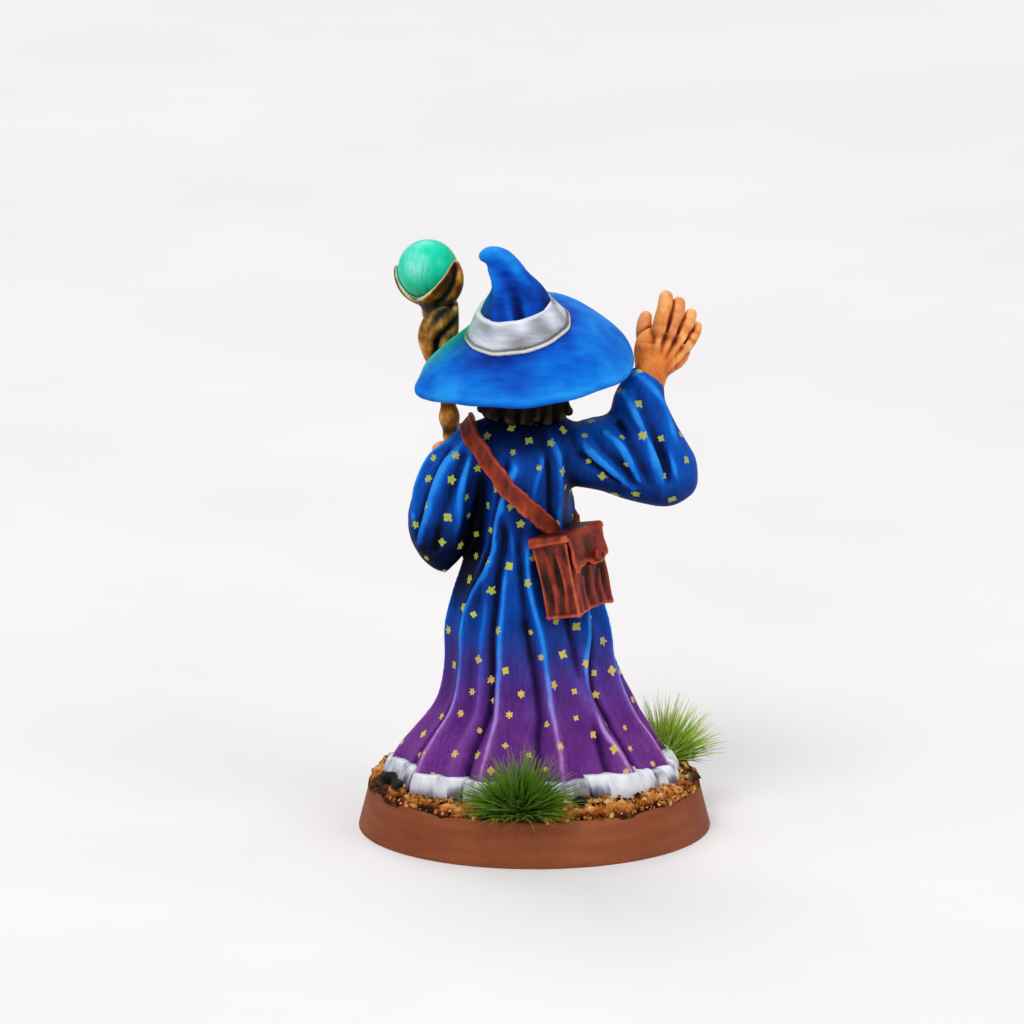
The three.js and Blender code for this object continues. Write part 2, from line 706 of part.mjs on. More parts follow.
// Sand and paste round the figure's foot: level under the robe, and lumpy out to the base's edge.
function groundShape() {
  const count = 32;
  const low = BASE_HEIGHT + 0.02;
  const lump = (radius, turn) =>
    0.55 +
    0.22 * Math.sin(7 * turn + 1.3 * radius) +
    0.16 * Math.sin(13 * turn - 2.1 * radius) +
    0.1 * Math.sin(23 * turn + 3.7 * radius);
  const ring = (radius, height) =>
    Array.from({ length: count }, (_, i) => {
      const turn = (i / count) * 2 * Math.PI;
      const z = height === null ? low + Math.max(0.2, lump(radius, turn)) : height;
      return vec(radius * Math.cos(turn), radius * Math.sin(turn), z);
    });
  const sheet = skin([
    ring(BASE_TOP_RADIUS - 0.2, low),
    ring(BASE_TOP_RADIUS - 0.05, low + 0.15),
    ring(BASE_TOP_RADIUS - 0.7, null),
    ring(BASE_TOP_RADIUS - 1.9, null),
    ring(BASE_TOP_RADIUS - 3.4, null),
    ring(BASE_TOP_RADIUS - 6, low + 0.4),
  ]);
  const foot = skin(
    [FIGURE_FOOT - GLUE_GAP, FIGURE_FOOT + 0.6, 7].map((z) => robeRing(z, 0.42)),
  );
  const slot = new THREE.BoxGeometry(SLOT_LENGTH, SLOT_WIDTH, 4 * BASE_HEIGHT);
  const staffFoot = peg(
    [[STAFF[0][0], STAFF[0][1], 3], [STAFF[0][0], STAFF[0][1], 6]],
    STAFF_RADIUS + 0.3,
  );
  return without(
    sheet,
    foot,
    solidOf(slot),
    staffFoot,
    tuft(...BACK_TUFT, GLUE_GAP),
    tuft(...SIDE_TUFT, GLUE_GAP),
  );
}

// Stones that lie on the ground, as position, size and turn.
const STONES = [
  [10.35, 3.6, 0.62, 20],
  [9.75, 5.35, 0.5, 75],
  [-3.2, 10.0, 0.48, 40],
  [-6.6, -8.2, 0.55, 10],
  [6.9, -8.6, 0.6, 55],
];

function stone([x, y, size, turn]) {
  const rock = new THREE.IcosahedronGeometry(size, 1);
  rock.scale(1.15, 0.9, 0.75);
  rock.rotateZ(deg(turn));
  rock.rotateX(deg(turn / 4));
  rock.translate(x, y, BASE_HEIGHT + 1.15);
  return solidOf(rock);
}

// A grass tuft's outer shape: a low dome on a pad.
function tuft([x, y], radius, height, grow = 0) {
  const profile = [
    [0, 0],
    [0.7 * radius + grow, 0],
    [0.85 * radius + grow, 0.25 * height],
    [radius + grow, 0.55 * height],
    [0.75 * radius + grow, 0.85 * height + grow],
    [0, height + grow],
  ];
  const dome = new THREE.LatheGeometry(
    profile.map(([r, z]) => new THREE.Vector2(r, z)),
    20,
  );
  dome.rotateX(Math.PI / 2);
  dome.translate(x, y, BASE_HEIGHT + 0.05);
  return solidOf(dome);
}

const BACK_TUFT = [[1.0, 10.1], 2.0, 4.8];
const SIDE_TUFT = [[-10.1, -3.9], 1.5, 5.0];

// ---------------------------------------------------------------- assembly
const robeGrown = robeShell(GLUE_GAP);
const hemGrown = hem(GLUE_GAP);
const strapGrown = strapShape(GLUE_GAP);
const headGrown = headShape(GLUE_GAP);
const hatShape = crownShape().add(brimShape());
const hatGrown = crownShape(GLUE_GAP).add(brimShape(GLUE_GAP));
const leftSleeveGrown = leftSleeveShape(GLUE_GAP);
const rightSleeveGrown = rightSleeveShape(GLUE_GAP);
const staffGrown = staffShape(GLUE_GAP);
const satchelGrown = satchelBody(GLUE_GAP).add(satchelFlap(GLUE_GAP));

const robe = without(
  robeShell(0).add(slotTab()),
  peg(LEFT_PEG, PEG_RADIUS, GLUE_GAP),
  peg(RIGHT_PEG, PEG_RADIUS, GLUE_GAP),
  headGrown,
);
const leftSleeve = without(leftSleeveShape(), robeGrown, strapGrown)
  .add(peg(LEFT_PEG, PEG_RADIUS))
  .subtract(peg(LEFT_WRIST, WRIST_RADIUS + 0.3))
  .subtract(bar([[6.3, -3.6, 22.2], [6.2, -5.6, 22.9]], [1.2, 1.7], { cap: 0.5, steps: 3 }));
const rightSleeve = without(rightSleeveShape(), robeGrown, strapGrown)
  .add(peg(RIGHT_PEG, PEG_RADIUS))
  .subtract(peg([RIGHT_WRIST[0], [-8.5, -1.5, 35]], WRIST_RADIUS + 0.1))
  .subtract(
    bar(
      [[-8.6, -3.4, 25.6], [-8.0, -3.1, 28.6], [-7.8, -2.9, 31.2], [-8.1, -2.4, 33.6]],
      [1.35, 1.4, 1.2, 1.1],
      { steps: 6 },
    ),
  );
const hair = without(
  hairShape(),
  headGrown,
  hatGrown,
  robeGrown,
  strapGrown,
  leftSleeveGrown,
  rightSleeveGrown,
);
const beard = without(
  beardShape(),
  headGrown,
  robeGrown,
  strapGrown,
  hairShape(GLUE_GAP),
  hatGrown,
);
const strap = without(strapShape(), satchelGrown);
const ground = groundShape();
const hemRoom = skin([2, FIGURE_FOOT + 1.6, 5.7, 7, 10].map((z) => robeRing(z, 0.62)));

// Name, solid, colour, roughness, metalness.
const PIECES = [
  ["base", baseShape(), "#6b3a22", 0.7, 0],
  ["ground", ground, "#b5702c", 0.95, 0],
  ...STONES.map((s, i) => [`stone_${i + 1}`, without(stone(s), hemGrown, ground), "#3b3431", 0.9, 0]),
  ["tuft_back", without(tuft(...BACK_TUFT), hemRoom), "#4a7a1c", 0.8, 0],
  ["tuft_side", without(tuft(...SIDE_TUFT), hemRoom), "#7fa62a", 0.8, 0],
  ["robe_body", robe, "#1b49a8", 0.6, 0],
  ["robe_hem", hem(), "#dfe3ea", 0.6, 0],
  ["left_sleeve", leftSleeve, "#1b49a8", 0.6, 0],
  ["right_sleeve", rightSleeve, "#1b49a8", 0.6, 0],
  ["left_hand", leftHand().subtract(staffGrown), "#c9773a", 0.6, 0],
  ["right_hand", rightHand(), "#c9773a", 0.6, 0],
  ["head", without(headShape()), "#c9773a", 0.6, 0],
  ["hair", hair, "#2c1c14", 0.7, 0],
  ["beard", beard, "#2c1c14", 0.7, 0],
  ["hat", without(hatShape, headGrown), "#1657c8", 0.55, 0],
  ["hat_band", hatBand(), "#b9bcc4", 0.5, 0],
  ["satchel_body", without(satchelBody(), robeGrown), "#a5402a", 0.6, 0],
  ["satchel_flap", without(satchelFlap(), robeGrown), "#a5402a", 0.6, 0],
  ["satchel_button", without(satchelButton(), satchelFlap(GLUE_GAP)), "#6d2517", 0.5, 0],
  ["satchel_strap", strap, "#a5402a", 0.6, 0],
  ["staff_shaft", staffShape(), "#8a5a1a", 0.6, 0],
  ["staff_claw", staffClaw(), "#8a6a24", 0.55, 0],
  ["staff_orb", orb(0), "#25d09a", 0.3, 0],
];

const figure = new THREE.Group();
for (const [name, solid, color, roughness, metalness] of PIECES) {
  const material = new THREE.MeshStandardMaterial({ color, roughness, metalness });
  const mesh = new THREE.Mesh(geometryOf(solid), material);
  mesh.name = name;
  figure.add(mesh);
}

export default figure;
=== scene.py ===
"""The looks of a painted wizard figure for tabletop games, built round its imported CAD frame.

Sculpted pieces are shaped as clay: a grid of distances, in millimetres, that bars and blobs are added
to and cut from. Each becomes a mesh that carries, point by point, what a painter sees: ridges, hollows
and the glow of the orb. Node materials turn those into shades, highlights, stars and brush strokes.
"""

import math

import bmesh
import bpy
import numpy as np
import openvdb
from mathutils import Matrix, Vector


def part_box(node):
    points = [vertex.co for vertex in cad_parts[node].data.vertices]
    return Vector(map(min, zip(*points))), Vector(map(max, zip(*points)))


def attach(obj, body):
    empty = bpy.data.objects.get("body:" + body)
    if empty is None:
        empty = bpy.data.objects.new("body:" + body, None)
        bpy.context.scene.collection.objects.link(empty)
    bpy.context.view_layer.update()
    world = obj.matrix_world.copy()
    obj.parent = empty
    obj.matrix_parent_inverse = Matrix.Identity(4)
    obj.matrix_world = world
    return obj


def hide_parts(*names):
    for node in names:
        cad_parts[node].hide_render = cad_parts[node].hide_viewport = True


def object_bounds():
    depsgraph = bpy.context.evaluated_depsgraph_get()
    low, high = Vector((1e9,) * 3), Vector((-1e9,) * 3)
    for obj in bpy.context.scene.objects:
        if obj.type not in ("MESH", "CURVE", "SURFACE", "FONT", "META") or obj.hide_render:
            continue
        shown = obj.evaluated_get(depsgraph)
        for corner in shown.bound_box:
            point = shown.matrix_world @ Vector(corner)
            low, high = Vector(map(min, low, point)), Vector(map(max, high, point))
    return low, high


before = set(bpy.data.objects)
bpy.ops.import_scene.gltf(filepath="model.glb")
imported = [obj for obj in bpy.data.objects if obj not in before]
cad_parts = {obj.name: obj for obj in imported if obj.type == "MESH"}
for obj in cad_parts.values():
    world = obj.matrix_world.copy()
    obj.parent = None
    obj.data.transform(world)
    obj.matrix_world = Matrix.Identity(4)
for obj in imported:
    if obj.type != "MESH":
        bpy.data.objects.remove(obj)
CAD_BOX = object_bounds()
MM = 0.001
FINE = 1.0


# ---------------------------------------------------------------- the frame, in millimetres
def node_box(name):
    low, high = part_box(name)
    return np.array(low) / MM, np.array(high) / MM


def middle(name):
    low, high = node_box(name)
    return (low + high) / 2


BASE_RADIUS, _, BASE_TOP = node_box("base")[1]
BASE_TOP_RADIUS = 0.936 * BASE_RADIUS
HEM_LOW, HEM_HIGH = node_box("robe_hem")
FOOT = HEM_LOW[2]
ORB = middle("staff_orb")
ORB_RADIUS = (node_box("staff_orb")[1][1] - node_box("staff_orb")[0][1]) / 2


# ---------------------------------------------------------------- numbers and curves
def rotation(axis, degrees):
    return np.array(Matrix.Rotation(math.radians(degrees), 3, axis))


def spline(rows, per_span=6):
    """Points on a smooth curve through the rows."""
    rows = np.array(rows, float)
    if len(rows) == 2:
        return np.linspace(rows[0], rows[1], per_span + 1)
    padded = np.vstack([2 * rows[0] - rows[1], rows, 2 * rows[-1] - rows[-2]])
    out = []
    for a, b, c, d in zip(padded, padded[1:], padded[2:], padded[3:]):
        for t in np.arange(per_span) / per_span:
            out.append(
                0.5
                * (
                    2 * b
                    + (c - a) * t
                    + (2 * a - 5 * b + 4 * c - d) * t**2
                    + (3 * b - a - 3 * c + d) * t**3
                )
            )
    out.append(rows[-1])
    return np.array(out)


def table(rows):
    """Reads rows of [key, a, b, ...] at any keys, with a smooth curve through the rows."""
    rows = np.array(rows, float)
    keys, values = rows[:, 0], rows[:, 1:]
    slopes = np.gradient(values, keys, axis=0)

    def read(key):
        key = np.clip(key, keys[0], keys[-1])
        i = np.clip(np.searchsorted(keys, key, side="right") - 1, 0, len(keys) - 2)
        step = keys[i + 1] - keys[i]
        t = (key - keys[i]) / step
        out = []
        for column in range(values.shape[1]):
            a, b = values[i, column], values[i + 1, column]
            sa, sb = slopes[i, column] * step, slopes[i + 1, column] * step
            curve = (2 * t**3 - 3 * t**2 + 1) * a + (t**3 - 2 * t**2 + t) * sa
            curve = curve + (3 * t**2 - 2 * t**3) * b + (t**3 - t**2) * sb
            out.append(curve.astype(np.float32) if curve.ndim else float(curve))
        return out

    return read


def smoothstep(low, high, value):
    t = np.clip((value - low) / (high - low), 0, 1)
    return t * t * (3 - 2 * t)


def lattice_noise(points, size, seed=0):
    """Smooth noise from -1 to 1 at points (n, 3), whose lumps are about size across."""
    p = np.asarray(points, np.float64) / size
    cell = np.floor(p).astype(np.int64)
    t = p - cell
    t = t * t * (3 - 2 * t)
    total = np.zeros(len(p))
    for corner in np.ndindex(2, 2, 2):
        c = cell + np.array(corner)
        h = c[:, 0] * 73856093 ^ c[:, 1] * 19349663 ^ c[:, 2] * 83492791 ^ (seed * 2654435)
        h = (h ^ (h >> 13)) * 1274126177
        value = ((h ^ (h >> 16)) & 0xFFFF) / 32767.5 - 1
        weight = np.prod(np.where(np.array(corner), t, 1 - t), axis=1)
        total += weight * value
    return total


# ---------------------------------------------------------------- clay
def segment_gap(x, y, ax, ay, bx, by):
    """The distance in a plane from x, y to the segment from a to b."""
    ux, uy = bx - ax, by - ay
    t = np.clip(((x - ax) * ux + (y - ay) * uy) / (ux * ux + uy * uy), 0, 1)
    return np.hypot(x - ax - t * ux, y - ay - t * uy)


def smooth_min(a, b, blend):
    if blend <= 0:
        return np.minimum(a, b)
    h = np.maximum(blend - np.abs(a - b), 0) / blend
    return np.minimum(a, b) - h * h * blend * 0.25


def bar(points, radii, per_span=5):
    """A round bar along a smooth curve, with a radius at each point."""
    rows = spline([list(p) + [r] for p, r in zip(points, radii)], per_span)
    path, sizes = rows[:, :3], rows[:, 3]

    def field(x, y, z):
        best = None
        for a, b, ra, rb in zip(path, path[1:], sizes, sizes[1:]):
            u = b - a
            length = max(float(u @ u), 1e-9)
            t = ((x - a[0]) * u[0] + (y - a[1]) * u[1] + (z - a[2]) * u[2]) / length
            t = np.clip(t, 0, 1)
            dx, dy, dz = x - a[0] - t * u[0], y - a[1] - t * u[1], z - a[2] - t * u[2]
            d = np.sqrt(dx * dx + dy * dy + dz * dz) - (ra + (rb - ra) * t)
            best = d if best is None else np.minimum(best, d)
        return best.astype(np.float32)

    reach = sizes.max()
    return field, path.min(0) - reach, path.max(0) + reach


def blob(centre, radii, turn=None):
    """An ellipsoid. turn is a 3 by 3 rotation of its own axes."""
    centre, radii = np.array(centre, float), np.array(radii, float)
    turn = np.eye(3) if turn is None else turn

    def field(x, y, z):
        x, y, z = x - centre[0], y - centre[1], z - centre[2]
        q = [turn[0, k] * x + turn[1, k] * y + turn[2, k] * z for k in range(3)]
        near = np.sqrt(sum((q[k] / radii[k]) ** 2 for k in range(3)))
        far = np.sqrt(sum((q[k] / radii[k] ** 2) ** 2 for k in range(3)))
        return (near * (near - 1) / np.maximum(far, 1e-6)).astype(np.float32)

    return field, centre - radii.max(), centre + radii.max()


class Clay:
    """A block of signed distances: negative inside."""

    def __init__(self, low, high, voxel):
        self.voxel = voxel * FINE
        self.low = np.array(low, float)
        counts = np.ceil((np.array(high) - self.low) / self.voxel).astype(int) + 1
        self.axes = [(a + self.voxel * np.arange(n)).astype(np.float32) for a, n in zip(self.low, counts)]
        self.field = np.full(counts, 4.0, np.float32)

    def part(self, low, high):
        spans = tuple(slice(int(np.searchsorted(axis, a)), int(np.searchsorted(axis, b))) for axis, a,
                      b in zip(self.axes, low, high))
        x = self.axes[0][spans[0]][:, None, None]
        y = self.axes[1][spans[1]][None, :, None]
        z = self.axes[2][spans[2]][None, None, :]
        return spans, x, y, z

    def add(self, shape, blend=0.0):
        field, low, high = shape
        room = blend + 3 * self.voxel
        spans, x, y, z = self.part(low - room, high + room)
        if x.size and y.size and z.size:
            self.field[spans] = smooth_min(self.field[spans], field(x, y, z), blend)
        return self

    def cut(self, shape, blend=0.0):
        field, low, high = shape
        room = blend + 3 * self.voxel
        spans, x, y, z = self.part(low - room, high + room)
        if x.size and y.size and z.size:
            self.field[spans] = -smooth_min(-self.field[spans], field(x, y, z), blend)
        return self

    def fill(self, field):
        """Adds a shape given as a distance field over the whole block."""
        return self.add((field, self.low, self.low + self.voxel * np.array(self.field.shape)))

    def at(self, points):
        """The distance at points (n, 3), and 4 outside the block."""
        index = np.round((np.asarray(points) - self.low) / self.voxel).astype(int)
        inside = np.all((index >= 0) & (index < self.field.shape), axis=1)
        index = np.clip(index, 0, np.array(self.field.shape) - 1)
        return np.where(inside, self.field[tuple(index.T)], 4.0)

    def skin(self, relax=3):
        for k in range(3):
            ends = [slice(None)] * 3
            for end in (0, -1):
                ends[k] = end
                self.field[tuple(ends)] = np.maximum(self.field[tuple(ends)], 0.5 * self.voxel)
        grid = openvdb.FloatGrid(4.0)
        grid.copyFromArray(self.field)
        points, quads = grid.convertToQuads(0.0)
        skin = Skin(self.low + self.voxel * points.astype(float), quads.astype(np.int64))
        skin.smooth(relax)
        return skin


class Skin:
    """Points in millimetres and quads, turned outwards."""

    def __init__(self, points, quads):
        a, b, c, d = (points[quads[:, k]] for k in range(4))
        volume = np.einsum("ij,ij->i", a, np.cross(b, c)) + np.einsum("ij,ij->i", a, np.cross(c, d))
        self.points = points
        self.quads = quads[:, ::-1] if volume.sum() < 0 else quads
        pairs = np.vstack([self.quads[:, [k, (k + 1) % 4]] for k in range(4)])
        self.pairs = np.unique(np.sort(pairs, axis=1), axis=0)
        self.count = np.bincount(self.pairs.ravel(), minlength=len(points)).clip(1)

    def around(self, values):
        """The mean of the values at each point's neighbours."""
        i, j = self.pairs.T
        flat = values.reshape(len(self.points), -1)
        out = np.empty_like(flat)
        for k in range(flat.shape[1]):
            total = np.bincount(i, flat[j, k], len(flat)) + np.bincount(j, flat[i, k], len(flat))
            out[:, k] = total / self.count
        return out.reshape(values.shape)

    def smooth(self, times):
        for _ in range(times):
            self.points = self.points + 0.5 * (self.around(self.points) - self.points)
            self.points = self.points - 0.52 * (self.around(self.points) - self.points)
        a, b, c, d = (self.points[self.quads[:, k]] for k in range(4))
        face = np.cross(c - a, d - b)
        normals = np.zeros_like(self.points)
        for k in range(4):
            for axis in range(3):
                normals[:, axis] += np.bincount(self.quads[:, k], face[:, axis], len(normals))
        self.normals = normals / np.linalg.norm(normals, axis=1, keepdims=True).clip(1e-9)

    def relief(self, times):
        """How far each point stands out from its surroundings: above 0 on ridges, below in creases."""
        calm = self.points
        for _ in range(times):
            calm = self.around(calm)
        height = np.einsum("ij,ij->i", self.points - calm, self.normals)
        height = self.around(self.around(height))
        return np.clip(height / max(np.percentile(np.abs(height), 88), 1e-9), -1.5, 1.5)


# ---------------------------------------------------------------- node materials
def srgb(code, alpha=1.0):
    channels = [int(code[k : k + 2], 16) / 255 for k in (0, 2, 4)]
    linear = [c / 12.92 if c <= 0.04045 else ((c + 0.055) / 1.055) ** 2.4 for c in channels]
    return (*linear, alpha)


class Look:
    """A node material, with a short call for each kind of node that it uses."""

    def __init__(self, name, roughness=0.55, specular=0.35):
        self.material = bpy.data.materials.new(name)
        self.material.use_nodes = True
        self.tree = self.material.node_tree
        self.shader = self.tree.nodes["Principled BSDF"]
        self.shader.inputs["Roughness"].default_value = roughness
        self.shader.inputs["Specular IOR Level"].default_value = specular
        place = self.tree.nodes.new("ShaderNodeTexCoord")
        scale = self.tree.nodes.new("ShaderNodeVectorMath")
        scale.operation = "SCALE"
        self.tree.links.new(place.outputs["Object"], scale.inputs[0])
        scale.inputs["Scale"].default_value = 1 / MM
        self.point = scale.outputs[0]
        geometry = self.tree.nodes.new("ShaderNodeNewGeometry")
        self.normal = geometry.outputs["Normal"]

    def put(self, socket, value):
        if isinstance(value, bpy.types.NodeSocket):
            self.tree.links.new(value, socket)
        elif isinstance(value, str):
            socket.default_value = srgb(value)
        else:
            socket.default_value = value

    def math(self, operation, a, b=0.0, c=0.0, clamp=False):
        node = self.tree.nodes.new("ShaderNodeMath")
        node.operation = operation
        node.use_clamp = clamp
        for socket, value in zip(node.inputs, (a, b, c)):
            self.put(socket, value)
        return node.outputs[0]

    def weigh(self, start, *terms):
        """start plus each (value, weight)."""
        total = start
        for value, weight in terms:
            total = self.math("MULTIPLY_ADD", value, weight, total)
        return total

    def vector(self, operation, a, b=(0, 0, 0)):
        node = self.tree.nodes.new("ShaderNodeVectorMath")
        node.operation = operation
        self.put(node.inputs[0], a)
        self.put(node.inputs[1], b)
        return node.outputs["Value" if operation in ("LENGTH", "DISTANCE") else "Vector"]

    def split(self, value):
        node = self.tree.nodes.new("ShaderNodeSeparateXYZ")
        self.put(node.inputs[0], value)
        return node.outputs

    def read(self, name, vector=False):
        node = self.tree.nodes.new("ShaderNodeAttribute")
        node.attribute_name = name
        return node.outputs["Vector" if vector else "Fac"]

    def noise(self, size, detail=2.0, stretch=(1, 1, 1), rough=0.5, place=None):
        """Noise from 0 to 1 whose lumps are about size millimetres across, longer where stretched."""
        node = self.tree.nodes.new("ShaderNodeTexNoise")
        node.inputs["Scale"].default_value = 1.0
        node.inputs["Detail"].default_value = detail
        node.inputs["Roughness"].default_value = rough
        scale = tuple(1 / (size * s) for s in stretch)
        self.put(node.inputs["Vector"], self.vector("MULTIPLY", place or self.point, scale))
        return node.outputs["Fac"]

    def ramp(self, value, stops):
        node = self.tree.nodes.new("ShaderNodeValToRGB")
        elements = node.color_ramp.elements
        while len(elements) < len(stops):
            elements.new(0.5)
        for element, (position, colour) in zip(elements, stops):
            element.position = position
            element.color = srgb(colour)
        self.put(node.inputs[0], value)
        return node.outputs[0]

    def step(self, value, low, high):
        node = self.tree.nodes.new("ShaderNodeMapRange")
        node.interpolation_type = "SMOOTHSTEP"
        self.put(node.inputs["Value"], value)
        node.inputs["From Min"].default_value = min(low, high)
        node.inputs["From Max"].default_value = max(low, high)
        node.inputs["To Min"].default_value = 0.0 if low < high else 1.0
        node.inputs["To Max"].default_value = 1.0 if low < high else 0.0
        return node.outputs["Result"]

    def mix(self, factor, a, b):
        node = self.tree.nodes.new("ShaderNodeMix")
        node.data_type = "RGBA"
        self.put(node.inputs[0], factor)
        self.put(node.inputs[6], a)
        self.put(node.inputs[7], b)
        return node.outputs[2]

    def finish(self, colour, height=None, depth=0.03):
        self.put(self.shader.inputs["Base Color"], colour)
        if height is not None:
            bump = self.tree.nodes.new("ShaderNodeBump")
            bump.inputs["Strength"].default_value = 1.0
            bump.inputs["Distance"].default_value = depth * MM
            self.put(bump.inputs["Height"], height)
            self.put(self.shader.inputs["Normal"], bump.outputs[0])
        return self.material


def cloth_look():
    """Blue wool fading to purple, shaded in the creases and lit along the folds, with painted stars."""
    look = Look("painted_robe", roughness=0.55, specular=0.05)
    ridge, calm, space = look.read("ridge"), look.read("swell"), look.read("space")
    height = look.split(look.point)[2]
    up = look.split(look.normal)[2]
    strokes = look.noise(0.4, 3, (0.6, 0.6, 6))
    blotch = look.noise(1.8, 2)
    # Painted light: highlights along the ridges, shade in the creases, shade in hollows from space, and faces
    # that look up painted lighter.
    crest = look.step(ridge, 0.6, 1.45)
    crease = look.step(ridge, -0.25, -1.2)
    # Painted shadows under the hat's brim round the neck and under the left elbow.
    brim_shadow = look.step(look.vector("DISTANCE", look.point, (0.8, 0.8, 30.4)), 4.9, 2.4)
    elbow = look.step(look.vector("DISTANCE", look.point, (6.4, 1.2, 19.6)), 5.0, 1.6)
    shade = look.weigh(0.03, (crest, 0.24), (crease, -0.14), (brim_shadow, -0.32), (elbow, -0.26),
                       (calm, 0.09), (space, 0.28), (up, 0.2), (strokes, 0.2), (blotch, 0.14))
    blue = look.ramp(shade, [(0.02, "01030a"), (0.2, "031030"), (0.36, "082868"), (0.52, "0a429e"),
                             (0.72, "0c64ce"), (0.95, "2c94f0")])
    purple = look.ramp(shade, [(0.02, "0a0514"), (0.2, "1e0c3a"), (0.36, "42195e"), (0.52, "642c80"),
                               (0.72, "8c4c9e"), (0.95, "c894d4")])
    fade = look.weigh(height, (shade, 5.5), (look.noise(1.6, 2), 3.0))
    robe = look.mix(look.step(fade, 12.2, 20.5), purple, blue)
    place = look.read("star_place", vector=True)
    form = look.split(look.read("star_form", vector=True))
    across, along, _ = look.split(place)
    square = look.math("MULTIPLY_ADD", along, along, look.math("MULTIPLY", across, across))
    reach = look.math("SQRT", square)
    turn = look.math("ARCTAN2", along, across)
    spoke = look.math("COSINE", look.math("MULTIPLY_ADD", turn, form[0], form[1]))
    spoke = look.math("POWER", look.math("MULTIPLY_ADD", spoke, 0.5, 0.5), 1.6)
    ragged = look.noise(0.5, 3, rough=0.7, place=look.vector("MULTIPLY", place, (1, 1, 7)))
    edge = look.weigh(0.1, (spoke, 0.3), (ragged, 1.1))
    star = look.step(look.math("SUBTRACT", edge, reach), -0.03, 0.09)
    paint = look.mix(look.step(height, 9.0, 20.0), "e8c65c", "b9c24a")
    paint = look.mix(look.math("MULTIPLY", look.step(ragged, 0.5, 0.3), 0.5), paint, "7d9a3a")
    robe = look.mix(look.math("MULTIPLY", star, form[2]), robe, paint)
    return look.finish(robe, look.weigh(0.0, (strokes, 0.6), (star, 0.5)), 0.02)


def hat_look():
    look = Look("painted_hat", roughness=0.55, specular=0.05)
    ridge, calm, space, rim = (look.read(n) for n in ("ridge", "swell", "space", "rim"))
    up = look.split(look.normal)[2]
    # Painted shade on the hat round its band; rim paints the brim lighter towards its edge, and up paints
    # upward faces lighter.
    band = look.step(look.vector("DISTANCE", look.point, tuple(HAT_MIDDLE)), 5.6, 3.5)
    strokes = look.noise(0.45, 4, (5, 1.6, 0.8), rough=0.6)
    blotch = look.noise(3.2, 2, (1.2, 1, 1))
    shade = look.weigh(-0.4, (band, -0.18), (ridge, 0.04), (calm, 0.08), (space, 0.2), (up, 0.24),
                       (rim, 0.26), (strokes, 0.3), (blotch, 0.8))
    hat = look.ramp(shade, [(0.04, "020612"), (0.2, "04174a"), (0.34, "062c88"), (0.5, "0648b6"),
                            (0.68, "086cd8"), (0.92, "2094ee")])
    glow = look.math("MULTIPLY", look.read("glow"), look.weigh(0.7, (strokes, 0.9)), clamp=True)
    green = look.ramp(shade, [(0.1, "064a40"), (0.4, "0e8a68"), (0.7, "28c492"), (0.95, "6ce8bc")])
    hat = look.mix(glow, hat, green)
    return look.finish(hat, strokes, 0.025)


def band_look():
    look = Look("painted_hat_band", roughness=0.45, specular=0.25)
    ridge, space, lip = look.read("ridge"), look.read("space"), look.read("rim")
    # The silver is painted as metal, in patches of painted reflection from dark grey to near white.
    reflection_patches = look.noise(1.5, 0, (1.2, 1.2, 0.8))
    strokes = look.noise(0.4, 4, (5, 2, 0.6), rough=0.6)
    shade = look.weigh(-0.22, (ridge, 0.1), (space, 0.25), (reflection_patches, 0.75), (strokes, 0.32))
    band = look.ramp(
        shade,
        [(0.1, "4c4a52"), (0.34, "808088"), (0.5, "a2a5ae"), (0.64, "c2c9d6"), (0.85, "eef2f8")],
    )
    cream_shade = look.weigh(-0.1, (ridge, 0.3), (strokes, 0.9))
    cream = look.ramp(cream_shade, [(0.15, "7a6a44"), (0.4, "c8bc94"), (0.65, "efeadc")])
    band = look.mix(look.step(lip, 0.16, 0.1), band, cream)
    # A painted highlight along the band's top edge, and painted shade in a dark line under its lower lip.
    band = look.mix(look.math("MULTIPLY", look.step(lip, 0.86, 0.95), 0.7), band, "eef2f8")
    under = look.math("MULTIPLY", look.step(lip, 0.2, 0.17), look.step(lip, 0.12, 0.15))
    band = look.mix(look.math("MULTIPLY", under, 0.75), band, "4a463e")
    glow = look.math("MULTIPLY", look.read("glow"), look.weigh(0.4, (strokes, 1.0)), clamp=True)
    green = look.ramp(shade, [(0.2, "1c9070"), (0.8, "78dcb4")])
    band = look.mix(glow, band, green)
    return look.finish(band, strokes, 0.02)


def hem_look():
    look = Look("painted_hem", roughness=0.5, specular=0.12)
    ridge, space, block = look.read("ridge"), look.read("space"), look.read("edge")
    up = look.split(look.normal)[2]
    patches = look.noise(0.9, 1, (1, 1, 2.0))
    strokes = look.noise(0.25, 3, (1, 1, 3))
    shade = look.weigh(-0.68, (ridge, 0.1), (space, 0.5), (up, 0.16), (block, 0.62), (patches, 0.5),
                       (strokes, 0.24))
    hem = look.ramp(shade, [(0.04, "08070a"), (0.16, "34323a"), (0.28, "6c6a74"), (0.42, "a2a4b0"),
                            (0.56, "ccd2dc"), (0.85, "f0f3f6")])
    return look.finish(hem, strokes, 0.03)


def skin_look():
    look = Look("painted_skin", roughness=0.48, specular=0.2)
    ridge, calm, space = look.read("ridge"), look.read("swell"), look.read("space")
    up = look.split(look.normal)[2]
    blotch = look.noise(0.9, 3)
    fine = look.noise(0.16, 3, (1, 1, 4))
    shade = look.weigh(
        0.02, (ridge, 0.16), (calm, 0.12), (space, 0.3), (up, 0.08), (blotch, 0.24), (fine, 0.2)
    )
    skin = look.ramp(shade, [(0.06, "240a06"), (0.24, "6a2610"), (0.4, "a84c1c"), (0.56, "dc7a2e"),
                             (0.74, "f09a4a"), (0.95, "f8bc80")])
    ruddy = look.math("MULTIPLY", look.step(look.noise(1.2, 2), 0.46, 0.62), 0.6)
    skin = look.mix(ruddy, skin, look.ramp(shade, [(0.2, "5c160c"), (0.5, "b2461e"), (0.8, "d87a48")]))
    return look.finish(skin, fine, 0.02)


